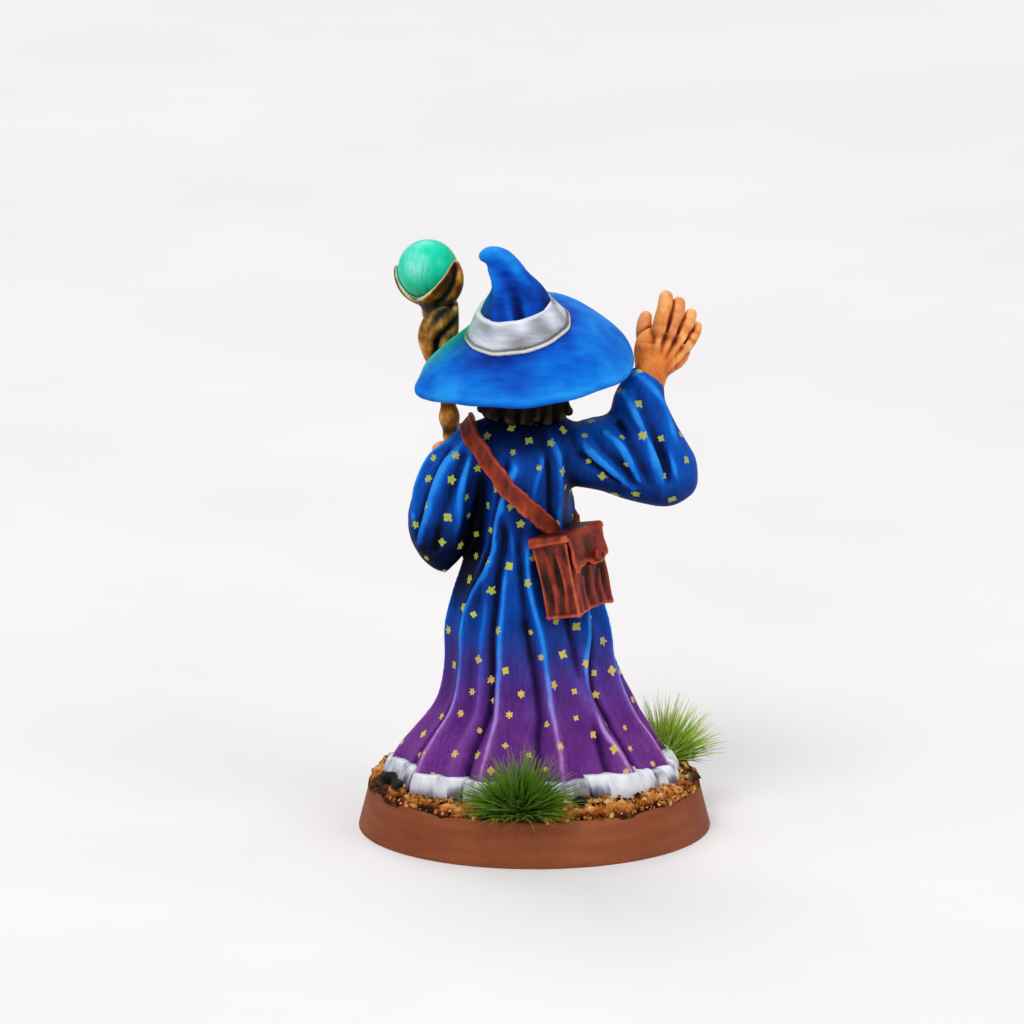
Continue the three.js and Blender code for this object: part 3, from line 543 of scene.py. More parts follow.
def hair_look():
    look = Look("painted_hair", roughness=0.6, specular=0.05)
    ridge, calm, space = look.read("ridge"), look.read("swell"), look.read("space")
    fine = look.noise(0.16, 3, (1, 1, 7))
    shade = look.weigh(-0.26, (ridge, 0.2), (calm, 0.08), (space, 0.4), (fine, 0.36))
    hair = look.ramp(
        shade,
        [(0.08, "030202"), (0.3, "0a0605"), (0.5, "1a110c"), (0.7, "34241a"), (0.95, "6a5646")],
    )
    return look.finish(hair, fine, 0.03)


def leather_look():
    look = Look("painted_leather", roughness=0.45, specular=0.2)
    ridge, calm, space, edge = (look.read(n) for n in ("ridge", "swell", "space", "edge"))
    strokes = look.noise(0.55, 4, (1, 1, 3), rough=0.62)
    patchy = look.noise(1.3, 2, (1, 1, 1.4))
    fine = look.noise(0.14, 3, (1, 1, 4))
    # edge adds a painted highlight along the leather's edges.
    shade = look.weigh(-0.52, (ridge, 0.1), (calm, 0.12), (space, 0.2), (edge, 0.2), (strokes, 0.56),
                       (patchy, 0.74), (fine, 0.14))
    leather = look.ramp(shade, [(0.04, "0c0403"), (0.2, "240a07"), (0.36, "541a10"), (0.52, "842c1a"),
                                (0.7, "a63f26"), (0.92, "c8603c")])
    return look.finish(leather, look.weigh(0.0, (strokes, 0.6), (fine, 0.4)), 0.03)


def wood_look():
    look = Look("painted_wood", roughness=0.42, specular=0.15)
    ridge, calm, space = look.read("ridge"), look.read("swell"), look.read("space")
    grain = look.noise(0.3, 4, (1, 1, 4), rough=0.65)
    blotch = look.noise(1.15, 2)
    # Faces that turn towards the figure's left are painted a little lighter.
    side = look.split(look.normal)[0]
    shade = look.weigh(
        -0.66, (ridge, 0.24), (calm, 0.14), (space, 0.28), (grain, 0.42), (blotch, 0.95), (side, 0.1)
    )
    wood = look.ramp(shade, [(0.06, "080403"), (0.24, "221006"), (0.4, "4c2a08"), (0.56, "8c520e"),
                             (0.72, "c07c1c"), (0.93, "ecd68c")])
    # A pale green painted highlight along the claw's lip round the orb.
    trim = look.math("MULTIPLY", look.read("edge"), look.weigh(0.4, (grain, 1.1)), clamp=True)
    wood = look.mix(trim, wood, look.ramp(grain, [(0.3, "3c9a78"), (0.65, "c4ecd4")]))
    glow = look.math("MULTIPLY", look.read("glow"), look.weigh(-0.5, (grain, 1.6)), clamp=True)
    green = look.ramp(shade, [(0.2, "052a20"), (0.5, "127c5a"), (0.9, "50d4a8")])
    wood = look.mix(glow, wood, green)
    return look.finish(wood, grain, 0.04)


def orb_look():
    look = Look("painted_orb", roughness=0.32, specular=0.2)
    from_middle = look.vector("SUBTRACT", look.point, tuple(ORB))
    place = look.vector("MULTIPLY", from_middle, (1 / ORB_RADIUS,) * 3)
    x, _, z = look.split(place)
    strokes = look.noise(0.5, 4, (0.5, 1, 3.5), rough=0.65)
    swirl = look.noise(1.6, 2)
    # The orb is painted lighter towards its top and the figure's left.
    lit = look.weigh(0.1, (x, 0.2), (z, 0.32), (strokes, 0.44), (swirl, 0.36))
    orb = look.ramp(lit, [(0.05, "004c38"), (0.26, "02805c"), (0.45, "04bc90"), (0.62, "0ad4a8"),
                          (0.8, "2ce0bc"), (0.98, "7cf0dc")])
    # A painted highlight on the orb's upper back, towards the figure's left, broken by brush strokes.
    spot = look.vector("DISTANCE", place, (0.42, 0.86, 0.3))
    highlight_strength = look.weigh(-0.4, (strokes, 1.7))
    spot = look.math("MULTIPLY", look.step(spot, 0.66, 0.08), highlight_strength, clamp=True)
    orb = look.mix(spot, orb, "a4f4ec")
    return look.finish(orb, strokes, 0.012)


def base_look():
    look = Look("painted_base", roughness=0.62, specular=0.12)
    strokes = look.noise(1.0, 3, (6, 6, 0.7))
    fine = look.noise(0.18, 2)
    shade = look.weigh(0.0, (strokes, 0.5), (fine, 0.2), (look.noise(4.0, 2), 0.3))
    brown = look.ramp(shade, [(0.25, "753a22"), (0.5, "8c4b2e"), (0.75, "a05c3c")])
    return look.finish(brown, look.weigh(0.0, (strokes, 0.7), (fine, 0.5)), 0.02)


def ground_look():
    look = Look("painted_ground", roughness=0.85, specular=0.08)
    raised, tint = look.read("raised"), look.read("tint")
    patch = look.noise(1.3, 3)
    grit = look.noise(0.2, 4, rough=0.7)
    # raised paints higher ground lighter and lower ground darker, as painted light and shade.
    shade = look.weigh(-0.53, (raised, 0.66), (tint, 0.3), (patch, 0.66), (grit, 0.6))
    ground = look.ramp(shade, [(0.06, "0a0706"), (0.22, "2e170c"), (0.36, "743a14"), (0.5, "ae6426"),
                               (0.66, "d29048"), (0.88, "ecc684")])
    # Dark patches at random: painted shade standing in for the paste's black crevices.
    dark = look.step(look.noise(2.2, 2, (1, 1.6, 1)), 0.52, 0.62)
    crevice_shade_colour = look.ramp(grit, [(0.3, "0c0a0a"), (0.55, "2c2422"), (0.8, "6a4a34")])
    ground = look.mix(look.math("MULTIPLY", dark, 0.85), ground, crevice_shade_colour)
    return look.finish(ground, grit, 0.14)


def stone_look():
    look = Look("painted_stone", roughness=0.8, specular=0.2)
    ridge = look.read("ridge")
    grit = look.noise(0.14, 4, rough=0.7)
    shade = look.weigh(0.0, (ridge, 0.16), (grit, 0.8))
    stone = look.ramp(shade, [(0.2, "0a090a"), (0.45, "242122"), (0.7, "4c4440"), (0.95, "94765a")])
    return look.finish(stone, grit, 0.08)


def grass_look(name, stops):
    look = Look(name, roughness=0.6, specular=0.25)
    along, tint = look.read("raised"), look.read("tint")
    # Blades are painted darker towards their roots, where shade falls in the tuft, and lighter to the tips.
    shade = look.weigh(0.0, (along, 0.75), (tint, 0.3))
    grass = look.ramp(shade, stops)
    return look.finish(grass)


def eye_look(centre, iris):
    look = Look("painted_eye", roughness=0.25, specular=0.6)
    away = look.vector("DISTANCE", look.point, tuple(iris))
    eye = look.mix(look.step(away, 0.27, 0.2), "d9d2c4", "4a2c18")
    eye = look.mix(look.step(away, 0.16, 0.11), eye, "080605")
    height = look.split(look.vector("SUBTRACT", look.point, tuple(centre)))[2]
    eye = look.mix(look.step(height, 0.12, 0.3), eye, "5a3020")
    return look.finish(eye)


# ---------------------------------------------------------------- making pieces
SCULPTED = []


def ball(subdivisions):
    """The points and faces of a round ball of radius 1."""
    shape = bmesh.new()
    bmesh.ops.create_icosphere(shape, subdivisions=subdivisions, radius=1.0)
    points = np.array([v.co for v in shape.verts])
    faces = np.array([[v.index for v in f.verts] for f in shape.faces])
    shape.free()
    return points, faces


def ring_faces(rings, count, wrap=False):
    """Quads over closed rings of count points each. wrap joins the last ring to the first."""
    i, k = (a.ravel() for a in np.indices((rings if wrap else rings - 1, count)))
    j, m = (i + 1) % rings, (k + 1) % count
    return np.stack([i * count + k, i * count + m, j * count + m, j * count + k], axis=1)


def link_object(name, data):
    thing = bpy.data.objects.new(name, data)
    bpy.context.scene.collection.objects.link(thing)
    return thing


def mesh_object(name, points, faces, node, material, smooth=True):
    mesh = bpy.data.meshes.new(name)
    faces = faces.tolist() if isinstance(faces, np.ndarray) else faces
    mesh.from_pydata((np.asarray(points) * MM).tolist(), [], faces)
    mesh.materials.append(material)
    piece = link_object(name, mesh)
    mesh.polygons.foreach_set("use_smooth", [smooth] * len(mesh.polygons))
    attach(piece, "root")
    if node:
        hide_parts(node)
    return piece


def write(piece, name, values, domain="POINT"):
    values = np.asarray(values, np.float32)
    kind = "FLOAT" if values.ndim == 1 else "FLOAT_VECTOR"
    layer = piece.data.attributes.new(name, kind, domain)
    layer.data.foreach_set("value" if values.ndim == 1 else "vector", values.ravel())


def clay_round(node, below, above, voxel):
    """A block of clay round a node, with room below and above its box."""
    low, high = node_box(node)
    return Clay(low - below, high + above, voxel)


def sculpt(name, clay, node, slot, material, relax=3):
    """Keeps a lump of clay for later, when every piece is known and its shade can be worked out."""
    skin = clay.skin(relax)
    SCULPTED.append((name, clay, skin, node, slot, material))
    return skin


# ---------------------------------------------------------------- robe
# Height, middle in X, half width, depth behind the middle, and depth in front of it.
ROBE = table([[3.4, 0.05, 10.0, 8.5, 7.8], [4.8, 0.15, 9.75, 8.1, 7.4], [5.9, 0.2, 9.1, 7.6, 6.8],
              [7.0, 0.1, 8.3, 7.0, 6.3], [8.05, 0.0, 7.5, 6.5, 5.8], [9.15, -0.1, 6.85, 6.1, 5.4],
              [10.6, 0.05, 6.25, 5.6, 5.1], [12.4, 0.3, 5.8, 5.2, 4.7], [14.6, 0.5, 5.6, 4.8, 4.4],
              [17.2, 0.6, 4.9, 4.2, 4.0], [19.4, 0.75, 4.05, 3.7, 3.5], [22.3, 0.75, 3.65, 3.5, 3.3],
              [24.5, 0.75, 3.6, 3.7, 3.4], [26.7, 0.6, 4.0, 3.8, 3.4], [28.3, 0.5, 4.2, 3.4, 2.9],
              [29.4, 0.4, 3.4, 2.6, 2.2], [30.2, 0.3, 2.1, 1.8, 1.6]])
# Each fold's height and width in millimetres, and its line as heights and angles. An angle is 0 at the
# figure's back, and grows towards its right hand.
FOLDS = [
    (0.6, 0.95, [(3.4, -90), (7.5, -90), (9.9, -90), (13.6, -88), (17.2, -90), (21, -88)]),
    (0.8, 0.95, [(3.4, -53), (5.4, -54), (8.2, -57), (10.7, -55), (13.5, -52), (16.9, -50),
                 (20.1, -33), (23.1, -28), (26.9, -11)]),
    (0.7, 0.75, [(3.4, -21), (6.8, -22), (8.2, -23), (10.5, -23), (13.5, -20), (16.5, -18), (19.2, -17)]),
    (0.75, 0.8, [(3.4, 12), (5.3, 13), (6.9, 13), (9.7, 10), (11.9, 11), (15, 10), (17.7, 5), (20.8, 4)]),
    (0.75, 0.85, [(3.4, 46), (5.7, 45), (7, 43), (8.6, 38), (10.4, 36), (15.1, 49), (18.2, 58)]),
    (0.7, 0.9, [(3.4, 75), (5, 75), (7.2, 75), (9.1, 71), (11.5, 75), (14.3, 82), (17, 86)]),
    (0.42, 0.8, [(3.4, -36), (8.0, -39), (12, -37), (16.5, -34), (19.5, -34)]),
    (0.6, 0.8, [(3.4, 106), (10, 104), (18, 110), (24, 112)]),
    (0.7, 0.85, [(3.4, 134), (10, 136), (18, 142), (23, 150)]),
    (0.6, 0.8, [(3.4, 163), (9, 160), (16, 164), (26, 160)]),
    (0.7, 0.85, [(3.4, 192), (10, 194), (18, 190), (25, 200)]),
    (0.65, 0.85, [(3.4, 220), (10, 222), (17, 216), (21, 214)]),
    (0.6, 0.8, [(3.4, 246), (10, 248), (18, 244)]),
    (0.38, 0.7, [(21.5, 47), (22.9, 45), (24.4, 47), (26.7, 38), (29.2, 24)]),
    (0.3, 0.6, [(22.8, 8), (23.9, 10), (25.8, 12), (28, 18)]),
    (0.34, 0.6, [(18.6, -50), (19.3, -49), (21.5, -41), (24.5, -33), (27, -26)]),
    (0.3, 0.55, [(16.5, -6), (19.4, -8), (22, -13), (24.2, -20)]),
]
# Creases are cut the same way: depth, width and line.
CREASES = [
    (0.4, 0.3, [(3.4, -64), (8, -67), (13.5, -61), (17, -58), (20, -42), (23, -36), (27, -22)]),
    (0.35, 0.3, [(3.4, -29), (8, -31), (13, -28), (18, -26), (22, -22)]),
    (0.3, 0.3, [(3.4, 4), (8, 2), (13, 2), (17, -3), (21, -5)]),
    (0.38, 0.3, [(3.4, 54), (8, 50), (10.5, 46), (14, 58)]),
    (0.35, 0.3, [(3.4, 84), (8, 82), (13, 88)]),
    (0.3, 0.28, [(21, 36), (23, 36), (26, 29), (28.5, 16)]),
]


def fold_lines(folds):
    return [(high, wide, table(list(map(list, line))), line[0][0], line[-1][0]) for high, wide, line in folds]


FOLD_LINES, CREASE_LINES = fold_lines(FOLDS), fold_lines(CREASES)


def fold_relief(angle, z, around):
    """How far the folds push the robe out at angles in degrees, on a circle of radius around."""
    total = 0.0
    for high, wide, line, bottom, top in FOLD_LINES:
        fade = smoothstep(top + 1.6, top - 0.8, z)
        if bottom > 4:
            fade = fade * smoothstep(bottom - 1.4, bottom + 0.6, z)
        grow = 1 + 0.35 * smoothstep(11, 4, z)
        away = (angle - line(z)[0] + 540) % 360 - 180
        s = away * (math.pi / 180) * around / (wide * grow)
        total = total + high * fade * (0.62 * np.exp(-s * s) + 0.38 * np.exp(-6 * s * s))
    for high, wide, line, bottom, top in CREASE_LINES:
        fade = smoothstep(top + 1.6, top - 0.8, z)
        away = (angle - line(z)[0] + 540) % 360 - 180
        s = away * (math.pi / 180) * around / wide
        total = total - high * fade * np.exp(-s * s)
    return total - 0.3


def robe_field(x, y, z):
    shift, half, back, front = ROBE(z)
    x = x - shift
    depth = np.where(y > 0, back, front)
    angle = np.degrees(np.arctan2(-x / half, y / depth))
    around = np.sqrt(x * x + y * y)
    share = np.sqrt((x / half) ** 2 + (y / depth) ** 2).clip(1e-3)
    d = around * (1 - 1 / share) - fold_relief(angle, z, around)
    return np.maximum(d * 0.9, z - 30.5).astype(np.float32)


def robe_point(angle, z, out=0.0):
    """The robe's surface at an angle and a height, out millimetres proud of it."""
    shift, half, back, front = ROBE(np.float64(z))
    a = math.radians(angle)
    depth = back if math.cos(a) > 0 else front
    x, y = -half * math.sin(a), depth * math.cos(a)
    around = math.hypot(x, y)
    push = 1 + (float(fold_relief(np.float64(angle), np.float64(z), around)) + out) / around
    return np.array([shift + x * push, y * push, z])


LEFT_UPPER = (
    [(4.2, 0.1, 27.4), (5.6, 0.6, 25.5), (6.75, 0.9, 22.8), (6.6, 0.8, 20.9)],
    [1.8, 2.1, 2.2, 1.65],
)
LEFT_LOWER = ([(6.6, 0.8, 21.5), (6.5, -1.4, 21.7), (6.2, -4.0, 22.9)], [1.8, 2.0, 2.2])
RIGHT_UPPER = (
    [(-2.4, 0, 27.0), (-5.2, -0.2, 27.1), (-7.5, -0.4, 26.45), (-9.1, -0.4, 25.6)],
    [2.1, 2.7, 2.85, 2.3],
)
RIGHT_LOWER = (
    [(-8.9, -0.4, 26.2), (-8.0, -0.6, 28.5), (-7.4, -0.8, 30.2), (-7.65, -1.1, 31.7)],
    [2.35, 2.1, 1.95, 1.5],
)


def drape(fields, points):
    """Finds where lines of (X, Z), seen from behind, meet the surface of the fields."""
    ys = np.arange(7.0, -4.0, -0.04)
    out = []
    for x, z in points:
        d = np.min([f(np.full_like(ys, x), ys, np.full_like(ys, z)) for f in fields], axis=0)
        hit = np.argmax(d < 0) if (d < 0).any() else int(np.argmin(d))
        out.append((x, ys[hit], z))
    return out


def fold(clay, fields, points, size, sink, blend=0.5):
    """Adds a rounded fold along a line seen from behind. Where sink is below 0, it cuts a crease."""
    path = [(x, y - sink, z) for x, y, z in drape(fields, points)]
    shape = bar(path, [0.55 * size] + [size] * (len(path) - 2) + [0.5 * size])
    return clay.cut(shape, blend) if sink < 0 else clay.add(shape, blend)


# The sleeves' folds, as size, sink, blend and a line of X and Z seen from behind. Those that sink below 0
# are creases. The right sleeve's fan out from the wrist and the shoulder, and the left sleeve's run long
# from the shoulder to the elbow.
SLEEVE_FOLDS = [
    (0.42, 0.1, 0.4, [(-2.9, 29.0), (-3.95, 27.8), (-5.35, 26.5), (-7.0, 25.2)]),
    (0.36, 0.08, 0.35, [(-5.0, 29.0), (-6.0, 28.2), (-6.7, 27.2), (-7.3, 25.8)]),
    (0.38, 0.06, 0.35, [(-6.3, 31.6), (-7.2, 30.1), (-7.9, 28.6), (-8.5, 26.8), (-9.1, 24.6)]),
    (0.44, 0.12, 0.35, [(-7.1, 32.8), (-8.3, 31.8), (-9.1, 30.2), (-9.8, 28.2), (-10.7, 26.0)]),
    (0.26, -0.16, 0.3, [(-4.2, 28.9), (-5.0, 28.0), (-6.1, 26.9), (-7.1, 25.4)]),
    (0.32, -0.18, 0.35, [(-5.9, 29.6), (-6.8, 28.6), (-7.5, 27.2), (-8.1, 25.4)]),
    (0.42, -0.22, 0.4, [(-7.1, 32.0), (-8.1, 30.2), (-8.8, 28.4), (-9.6, 25.6)]),
    (0.3, -0.18, 0.35, [(-3.2, 27.6), (-4.4, 26.6), (-5.8, 25.6)]),
    (0.42, 0.1, 0.4, [(5.0, 28.2), (6.3, 26.6), (7.2, 24.4), (7.9, 22.0), (8.0, 20.8)]),
    (0.36, 0.08, 0.35, [(5.8, 28.2), (7.2, 27.0), (8.2, 25.0), (8.5, 23.0)]),
    (0.4, 0.06, 0.4, [(4.6, 27.6), (5.2, 25.4), (5.5, 23.0), (5.9, 21.0)]),
    (0.3, -0.14, 0.35, [(4.9, 27.6), (5.9, 25.2), (6.6, 22.8), (7.0, 20.8)]),
    (0.26, -0.14, 0.3, [(6.1, 27.8), (7.4, 25.8), (8.1, 23.4), (8.3, 21.6)]),
]


def cloth_clay():
    names = ("robe_body", "left_sleeve", "right_sleeve")
    low = np.minimum.reduce([node_box(n)[0] for n in names])
    high = np.maximum.reduce([node_box(n)[1] for n in names])
    low[2] = FOOT
    clay, arm = (Clay(low - 0.8, high + (0.8, 0.8, 1.2), 0.14) for _ in range(2))
    spans, x, y, z = clay.part(low - 5, high + 5)
    clay.field[spans] = robe_field(x, y, z)
    left = [bar(*LEFT_UPPER), bar(*LEFT_LOWER)]
    right = [bar(*RIGHT_UPPER), bar(*RIGHT_LOWER)]
    for shape in left + right:
        arm.add(shape, 0.9)
    # The left sleeve hangs to a blunt point under the elbow.
    arm.add(bar([(6.7, 0.9, 21.4), (6.6, 1.1, 19.9), (6.35, 1.3, 19.0)], [1.45, 0.85, 0.2]), 0.7)
    # Cloth fills the corner between the left arm and the body.
    arm.add(bar([(4.0, 0.5, 24.6), (4.3, 0.4, 22.6), (4.2, 0.3, 21.5)], [0.85, 0.9, 0.8]), 0.6)
    # The left shoulder rises to the neck under the strap.
    shoulder = [(5.0, 0.1, 27.4), (4.2, 0.2, 28.0), (3.0, 0.4, 28.7), (1.5, 0.6, 29.3)]
    arm.add(bar(shoulder, [1.3, 1.3, 1.25, 1.2]), 0.6)
    # The right elbow's cloth is stretched to a corner.
    arm.add(bar([(-9.3, -0.3, 25.3), (-10.5, -0.3, 24.9)], [1.7, 0.85]), 0.7)
    clay.field = smooth_min(clay.field, arm.field, 0.5)
    fields = [robe_field] + [shape[0] for shape in left + right]
    for size, sink, blend, line in SLEEVE_FOLDS:
        fold(clay, fields, line, size, sink, blend)
    # Folds round the front of the left forearm's sleeve, and its mouth.
    for turn in (-70, -10, 55, 120, 190):
        c, s = math.cos(math.radians(turn)), math.sin(math.radians(turn))
        rows = ((6.6, 0.2, 21.8, 1.7), (6.4, -2.0, 22.0, 1.9), (6.2, -4.3, 23.1, 2.1))
        clay.add(bar([(x + r * c, y, z + r * s) for x, y, z, r in rows], [0.25, 0.34, 0.4]), 0.4)
    clay.cut(bar([(6.35, -3.2, 22.7), (6.2, -6.6, 23.9)], [1.15, 1.9]), 0.25)
    # The right sleeve's long mouth, on the side away from the back.
    mouth = [(-8.1, -2.3, 33.2), (-8.4, -2.85, 30.4), (-9.1, -3.0, 27.9), (-9.5, -2.7, 26.3)]
    clay.cut(bar(mouth, [0.95, 1.2, 1.35, 1.0]), 0.25)
    return clay, left, right


def split_cloth(clay, left, right):
    """One skin for the robe and its sleeves, so that folds cross the seams, and a label for each face."""
    skin = clay.skin(3)
    x, y, z = skin.points[skin.quads].mean(axis=1).T
    gaps = [robe_field(x, y, z)]
    for shapes in (left, right):
        gaps.append(np.min([s[0](x, y, z) for s in shapes], axis=0) + 0.15)
    label = np.argmin(gaps, axis=0)
    label[(z < 17.5) & (label == 1)] = 0
    return skin, label


STAR_SPACING = 1.75
STAR_SIZE = 0.325


def stars(skin, seed=7):
    """Each face's place on its nearest star, and that star's form."""
    rng = np.random.default_rng(seed)
    order = rng.permutation(len(skin.points))[:9000]
    taken = np.empty((0, 3))
    chosen = []
    for i in order:
        p = skin.points[i]
        if len(taken) and np.min(np.linalg.norm(taken - p, axis=1)) < STAR_SPACING * rng.uniform(0.8, 1.15):
            continue
        taken = np.vstack([taken, p])
        chosen.append(i)
    chosen = np.array(chosen)
    centres, normals = skin.points[chosen], skin.normals[chosen]
    size = STAR_SIZE * rng.uniform(0.75, 1.25, len(chosen))
    arms = rng.integers(4, 7, len(chosen))
    phase = rng.uniform(0, 6.28, len(chosen))
    strength = np.where(rng.random(len(chosen)) < 0.94, rng.uniform(0.82, 1.0, len(chosen)), 0.0)
    side = np.cross(normals, [0, 0.2, 1.0])
    side /= np.linalg.norm(side, axis=1, keepdims=True)
    rise = np.cross(normals, side)
    faces = skin.points[skin.quads].mean(axis=1)
    nearest = np.empty(len(faces), int)
    for start in range(0, len(faces), 20000):
        block = faces[start : start + 20000]
        away = ((block[:, None, :] - centres[None]) ** 2).sum(-1)
        nearest[start : start + 20000] = away.argmin(1)
    corner = skin.points[skin.quads] - centres[nearest][:, None, :]
    u = np.einsum("fci,fi->fc", corner, side[nearest]) / size[nearest][:, None]
    v = np.einsum("fci,fi->fc", corner, rise[nearest]) / size[nearest][:, None]
    # A star isn't stretched where the cloth turns away from it: each place keeps its true distance.
    true = np.linalg.norm(corner, axis=2) / size[nearest][:, None]
    stretch = (true / np.hypot(u, v).clip(1e-3)).clip(1, 40)
    u, v = u * stretch, v * stretch
    seeds = np.broadcast_to((nearest * 0.37 % 9.0)[:, None], u.shape)
    place = np.stack([u, v, seeds], axis=-1)
    form = np.stack([arms[nearest], phase[nearest], strength[nearest]], axis=-1)
    form = np.broadcast_to(form[:, None, :], place.shape)
    return place, form


# ---------------------------------------------------------------- hem
def hem_piece(material):
    """A thick band round the robe's foot, in flat blocks that step up and down."""
    low, high = HEM_LOW[2], HEM_HIGH[2]
    rng = np.random.default_rng(3)
    blocks = 13
    breaks = np.sort((np.arange(blocks) + rng.uniform(-0.3, 0.3, blocks)) * 360 / blocks)
    rise = rng.uniform(-0.2, 0.2, blocks)
    tilt = rng.uniform(-0.3, 0.3, blocks)
    thick = rng.uniform(0.0, 0.16, blocks)
    tone = rng.random(blocks * 4)
    section = [(0.0, -0.4), (0.0, 0.42), (0.04, 0.56), (0.12, 0.6), (0.5, 0.56), (0.9, 0.44), (0.97, 0.38),
        (1.0, 0.24), (1.0, -0.4)]
    count = 1080
    turns = np.arange(count) * 360 / count
    # The blocks bridge the robe's folds, so they follow only the broadest of them.
    folds = fold_relief(turns, np.full(count, low + 0.7), 9.0)
    wrapped = np.concatenate([folds[-21:], folds, folds[:21]])
    calm = np.convolve(wrapped, np.ones(43) / 43, mode="valid")
    bridge = np.maximum(calm, folds - 0.25)
    points, tint = [], []
    for i, turn in enumerate(turns):
        near = np.min(np.abs((turn - breaks + 180) % 360 - 180))
        notch = -0.26 * math.exp(-((near / 0.4) ** 2))
        k = int(np.searchsorted(breaks, turn)) % blocks
        along = ((turn - breaks[k - 1]) % 360) / max((breaks[k] - breaks[k - 1]) % 360, 1)
        wobble = 0.02 * math.sin(math.radians(turn) * 23) + 0.02 * math.sin(math.radians(turn) * 41 + 1)
        step = rise[k] + tilt[k] * (along - 0.5)
        bottom = low - 0.05 + 0.8 * step + wobble
        tall = high - low + 0.1 + 0.4 * step
        for share, out in section:
            z = bottom + share * tall
            if out > 0:
                out += thick[k] + notch + wobble + bridge[i]
                out -= float(fold_relief(np.float64(turn), np.float64(z), 9.0))
            points.append(robe_point(turn, z, out))
            tint.append(tone[(4 * k + int(4 * along) + (share > 0.5)) % len(tone)])
    skin = Skin(np.array(points), ring_faces(count, len(section), wrap=True)[:, ::-1])
    skin.smooth(0)
    skin.edge = np.array(tint)
    SCULPTED.append(("hem_trim", None, skin, "robe_hem", "hem", material))


# ---------------------------------------------------------------- hat
HAT_TURN = rotation("X", -14.2) @ rotation("Y", 10.4)
# The middle of the brim's root is this far below the middle of the band's box.
HAT_MIDDLE = middle("hat_band") - np.array([0.115, 0.145, 1.025])
BRIM_ROOT = 3.1
BRIM_EDGE = table([[-32, 6.7, 2.0], [-10, 7.2, 1.95], [5, 7.6, 2.1], [16, 8.2, 2.12], [27, 7.8, 2.05],
                   [45, 7.4, 1.7], [73, 7.4, 1.55], [97, 7.35, 1.85], [125, 7.5, 2.4], [150, 7.7, 3.0],
                   [180, 7.6, 3.35], [205, 7.6, 3.0], [228, 7.5, 2.1], [250, 7.3, 1.0], [270, 7.0, 0.8],
                   [300, 6.5, 1.3], [328, 6.7, 2.0], [350, 7.2, 1.95], [365, 7.6, 2.1], [376, 8.2, 2.12]])
CROWN = [(0, 0, -0.3), (-0.1, 0, 1.0), (-0.33, 0, 2.15), (-0.28, 0, 3.45), (-0.15, 0, 4.2),
         (-0.03, 0, 5.05), (0.3, 0, 5.95), (0.85, 0.05, 6.5), (1.3, 0.05, 6.55)]
CROWN_RADII = [3.0, 2.75, 2.25, 1.62, 1.38, 1.16, 0.93, 0.66, 0.42]


def to_hat(x, y, z):
    x, y, z = x - HAT_MIDDLE[0], y - HAT_MIDDLE[1], z - HAT_MIDDLE[2]
    return [HAT_TURN[0, k] * x + HAT_TURN[1, k] * y + HAT_TURN[2, k] * z for k in range(3)]


def from_hat(points):
    return [tuple(HAT_MIDDLE + HAT_TURN @ np.array(p, float)) for p in points]


def brim_field(x, y, z):
    x, y, z = to_hat(x, y, z)
    turn = np.degrees(np.arctan2(y, x)) % 360
    radius = np.sqrt(x * x + y * y)
    edge, droop = BRIM_EDGE(turn)
    waves = ((0.1, 3, 40), (0.06, 5, 130), (0.04, 11, 20))
    wave = sum(high * np.sin(np.radians(times * turn + start)) for high, times, start in waves)
    rings = []
    for share in [-1.0, *np.linspace(0, 1, 12)]:
        r = BRIM_ROOT + (edge - 0.38 - BRIM_ROOT) * share
        rings.append((r, -droop * max(share, 0) ** 1.7 + wave * max(share, 0) ** 2))
    best = None
    for inner, outer in zip(rings, rings[1:]):
        d = segment_gap(radius, z, *inner, *outer)
        best = d if best is None else np.minimum(best, d)
    thick = 0.36 + 0.03 * smoothstep(0.75, 1.0, radius / edge)
    return (best - thick).astype(np.float32)


def hat_piece(material):
    clay = clay_round("hat", 0.9, 0.9, 0.1).fill(brim_field)
    clay.add(bar(from_hat(CROWN), CROWN_RADII, 6), 0.5)
    # Soft folds that run up the crown and round its bend.
    right_ridge = [(-1.75, 1.15, 2.2), (-1.45, 1.05, 3.4), (-0.95, 0.85, 4.7)]
    right_ridge += [(-0.35, 0.7, 5.9), (0.4, 0.5, 6.9)]
    clay.add(bar(from_hat(right_ridge), [0.12, 0.34, 0.3, 0.26, 0.2]), 0.45)
    valley = [(-0.4, 2.35, 1.9), (-0.35, 1.85, 3.2), (-0.15, 1.5, 4.4), (0.1, 1.25, 5.2)]
    clay.cut(bar(from_hat(valley), [0.2, 0.26, 0.22, 0.12]), 0.7)
    left_ridge = [(1.3, 1.9, 1.9), (1.0, 1.25, 3.3), (0.85, 0.85, 4.7), (1.0, 0.6, 5.6)]
    clay.add(bar(from_hat(left_ridge), [0.28, 0.28, 0.24, 0.18]), 0.5)
    clay.cut(blob(middle("head") + (0, 0, 1.2), (2.2, 2.3, 2.4)), 0.2)
    skin = sculpt("hat_felt", clay, "hat", "hat", material, 4)
    x, y, z = to_hat(*skin.points.T)
    edge, _ = BRIM_EDGE(np.degrees(np.arctan2(y, x)) % 360)
    rim = np.clip((np.hypot(x, y) - BRIM_ROOT) / (edge - BRIM_ROOT), 0, 1)
    skin.rim = np.where(z > 2.0, 0.5 + 0.25 * smoothstep(4.0, 6.5, z), rim)


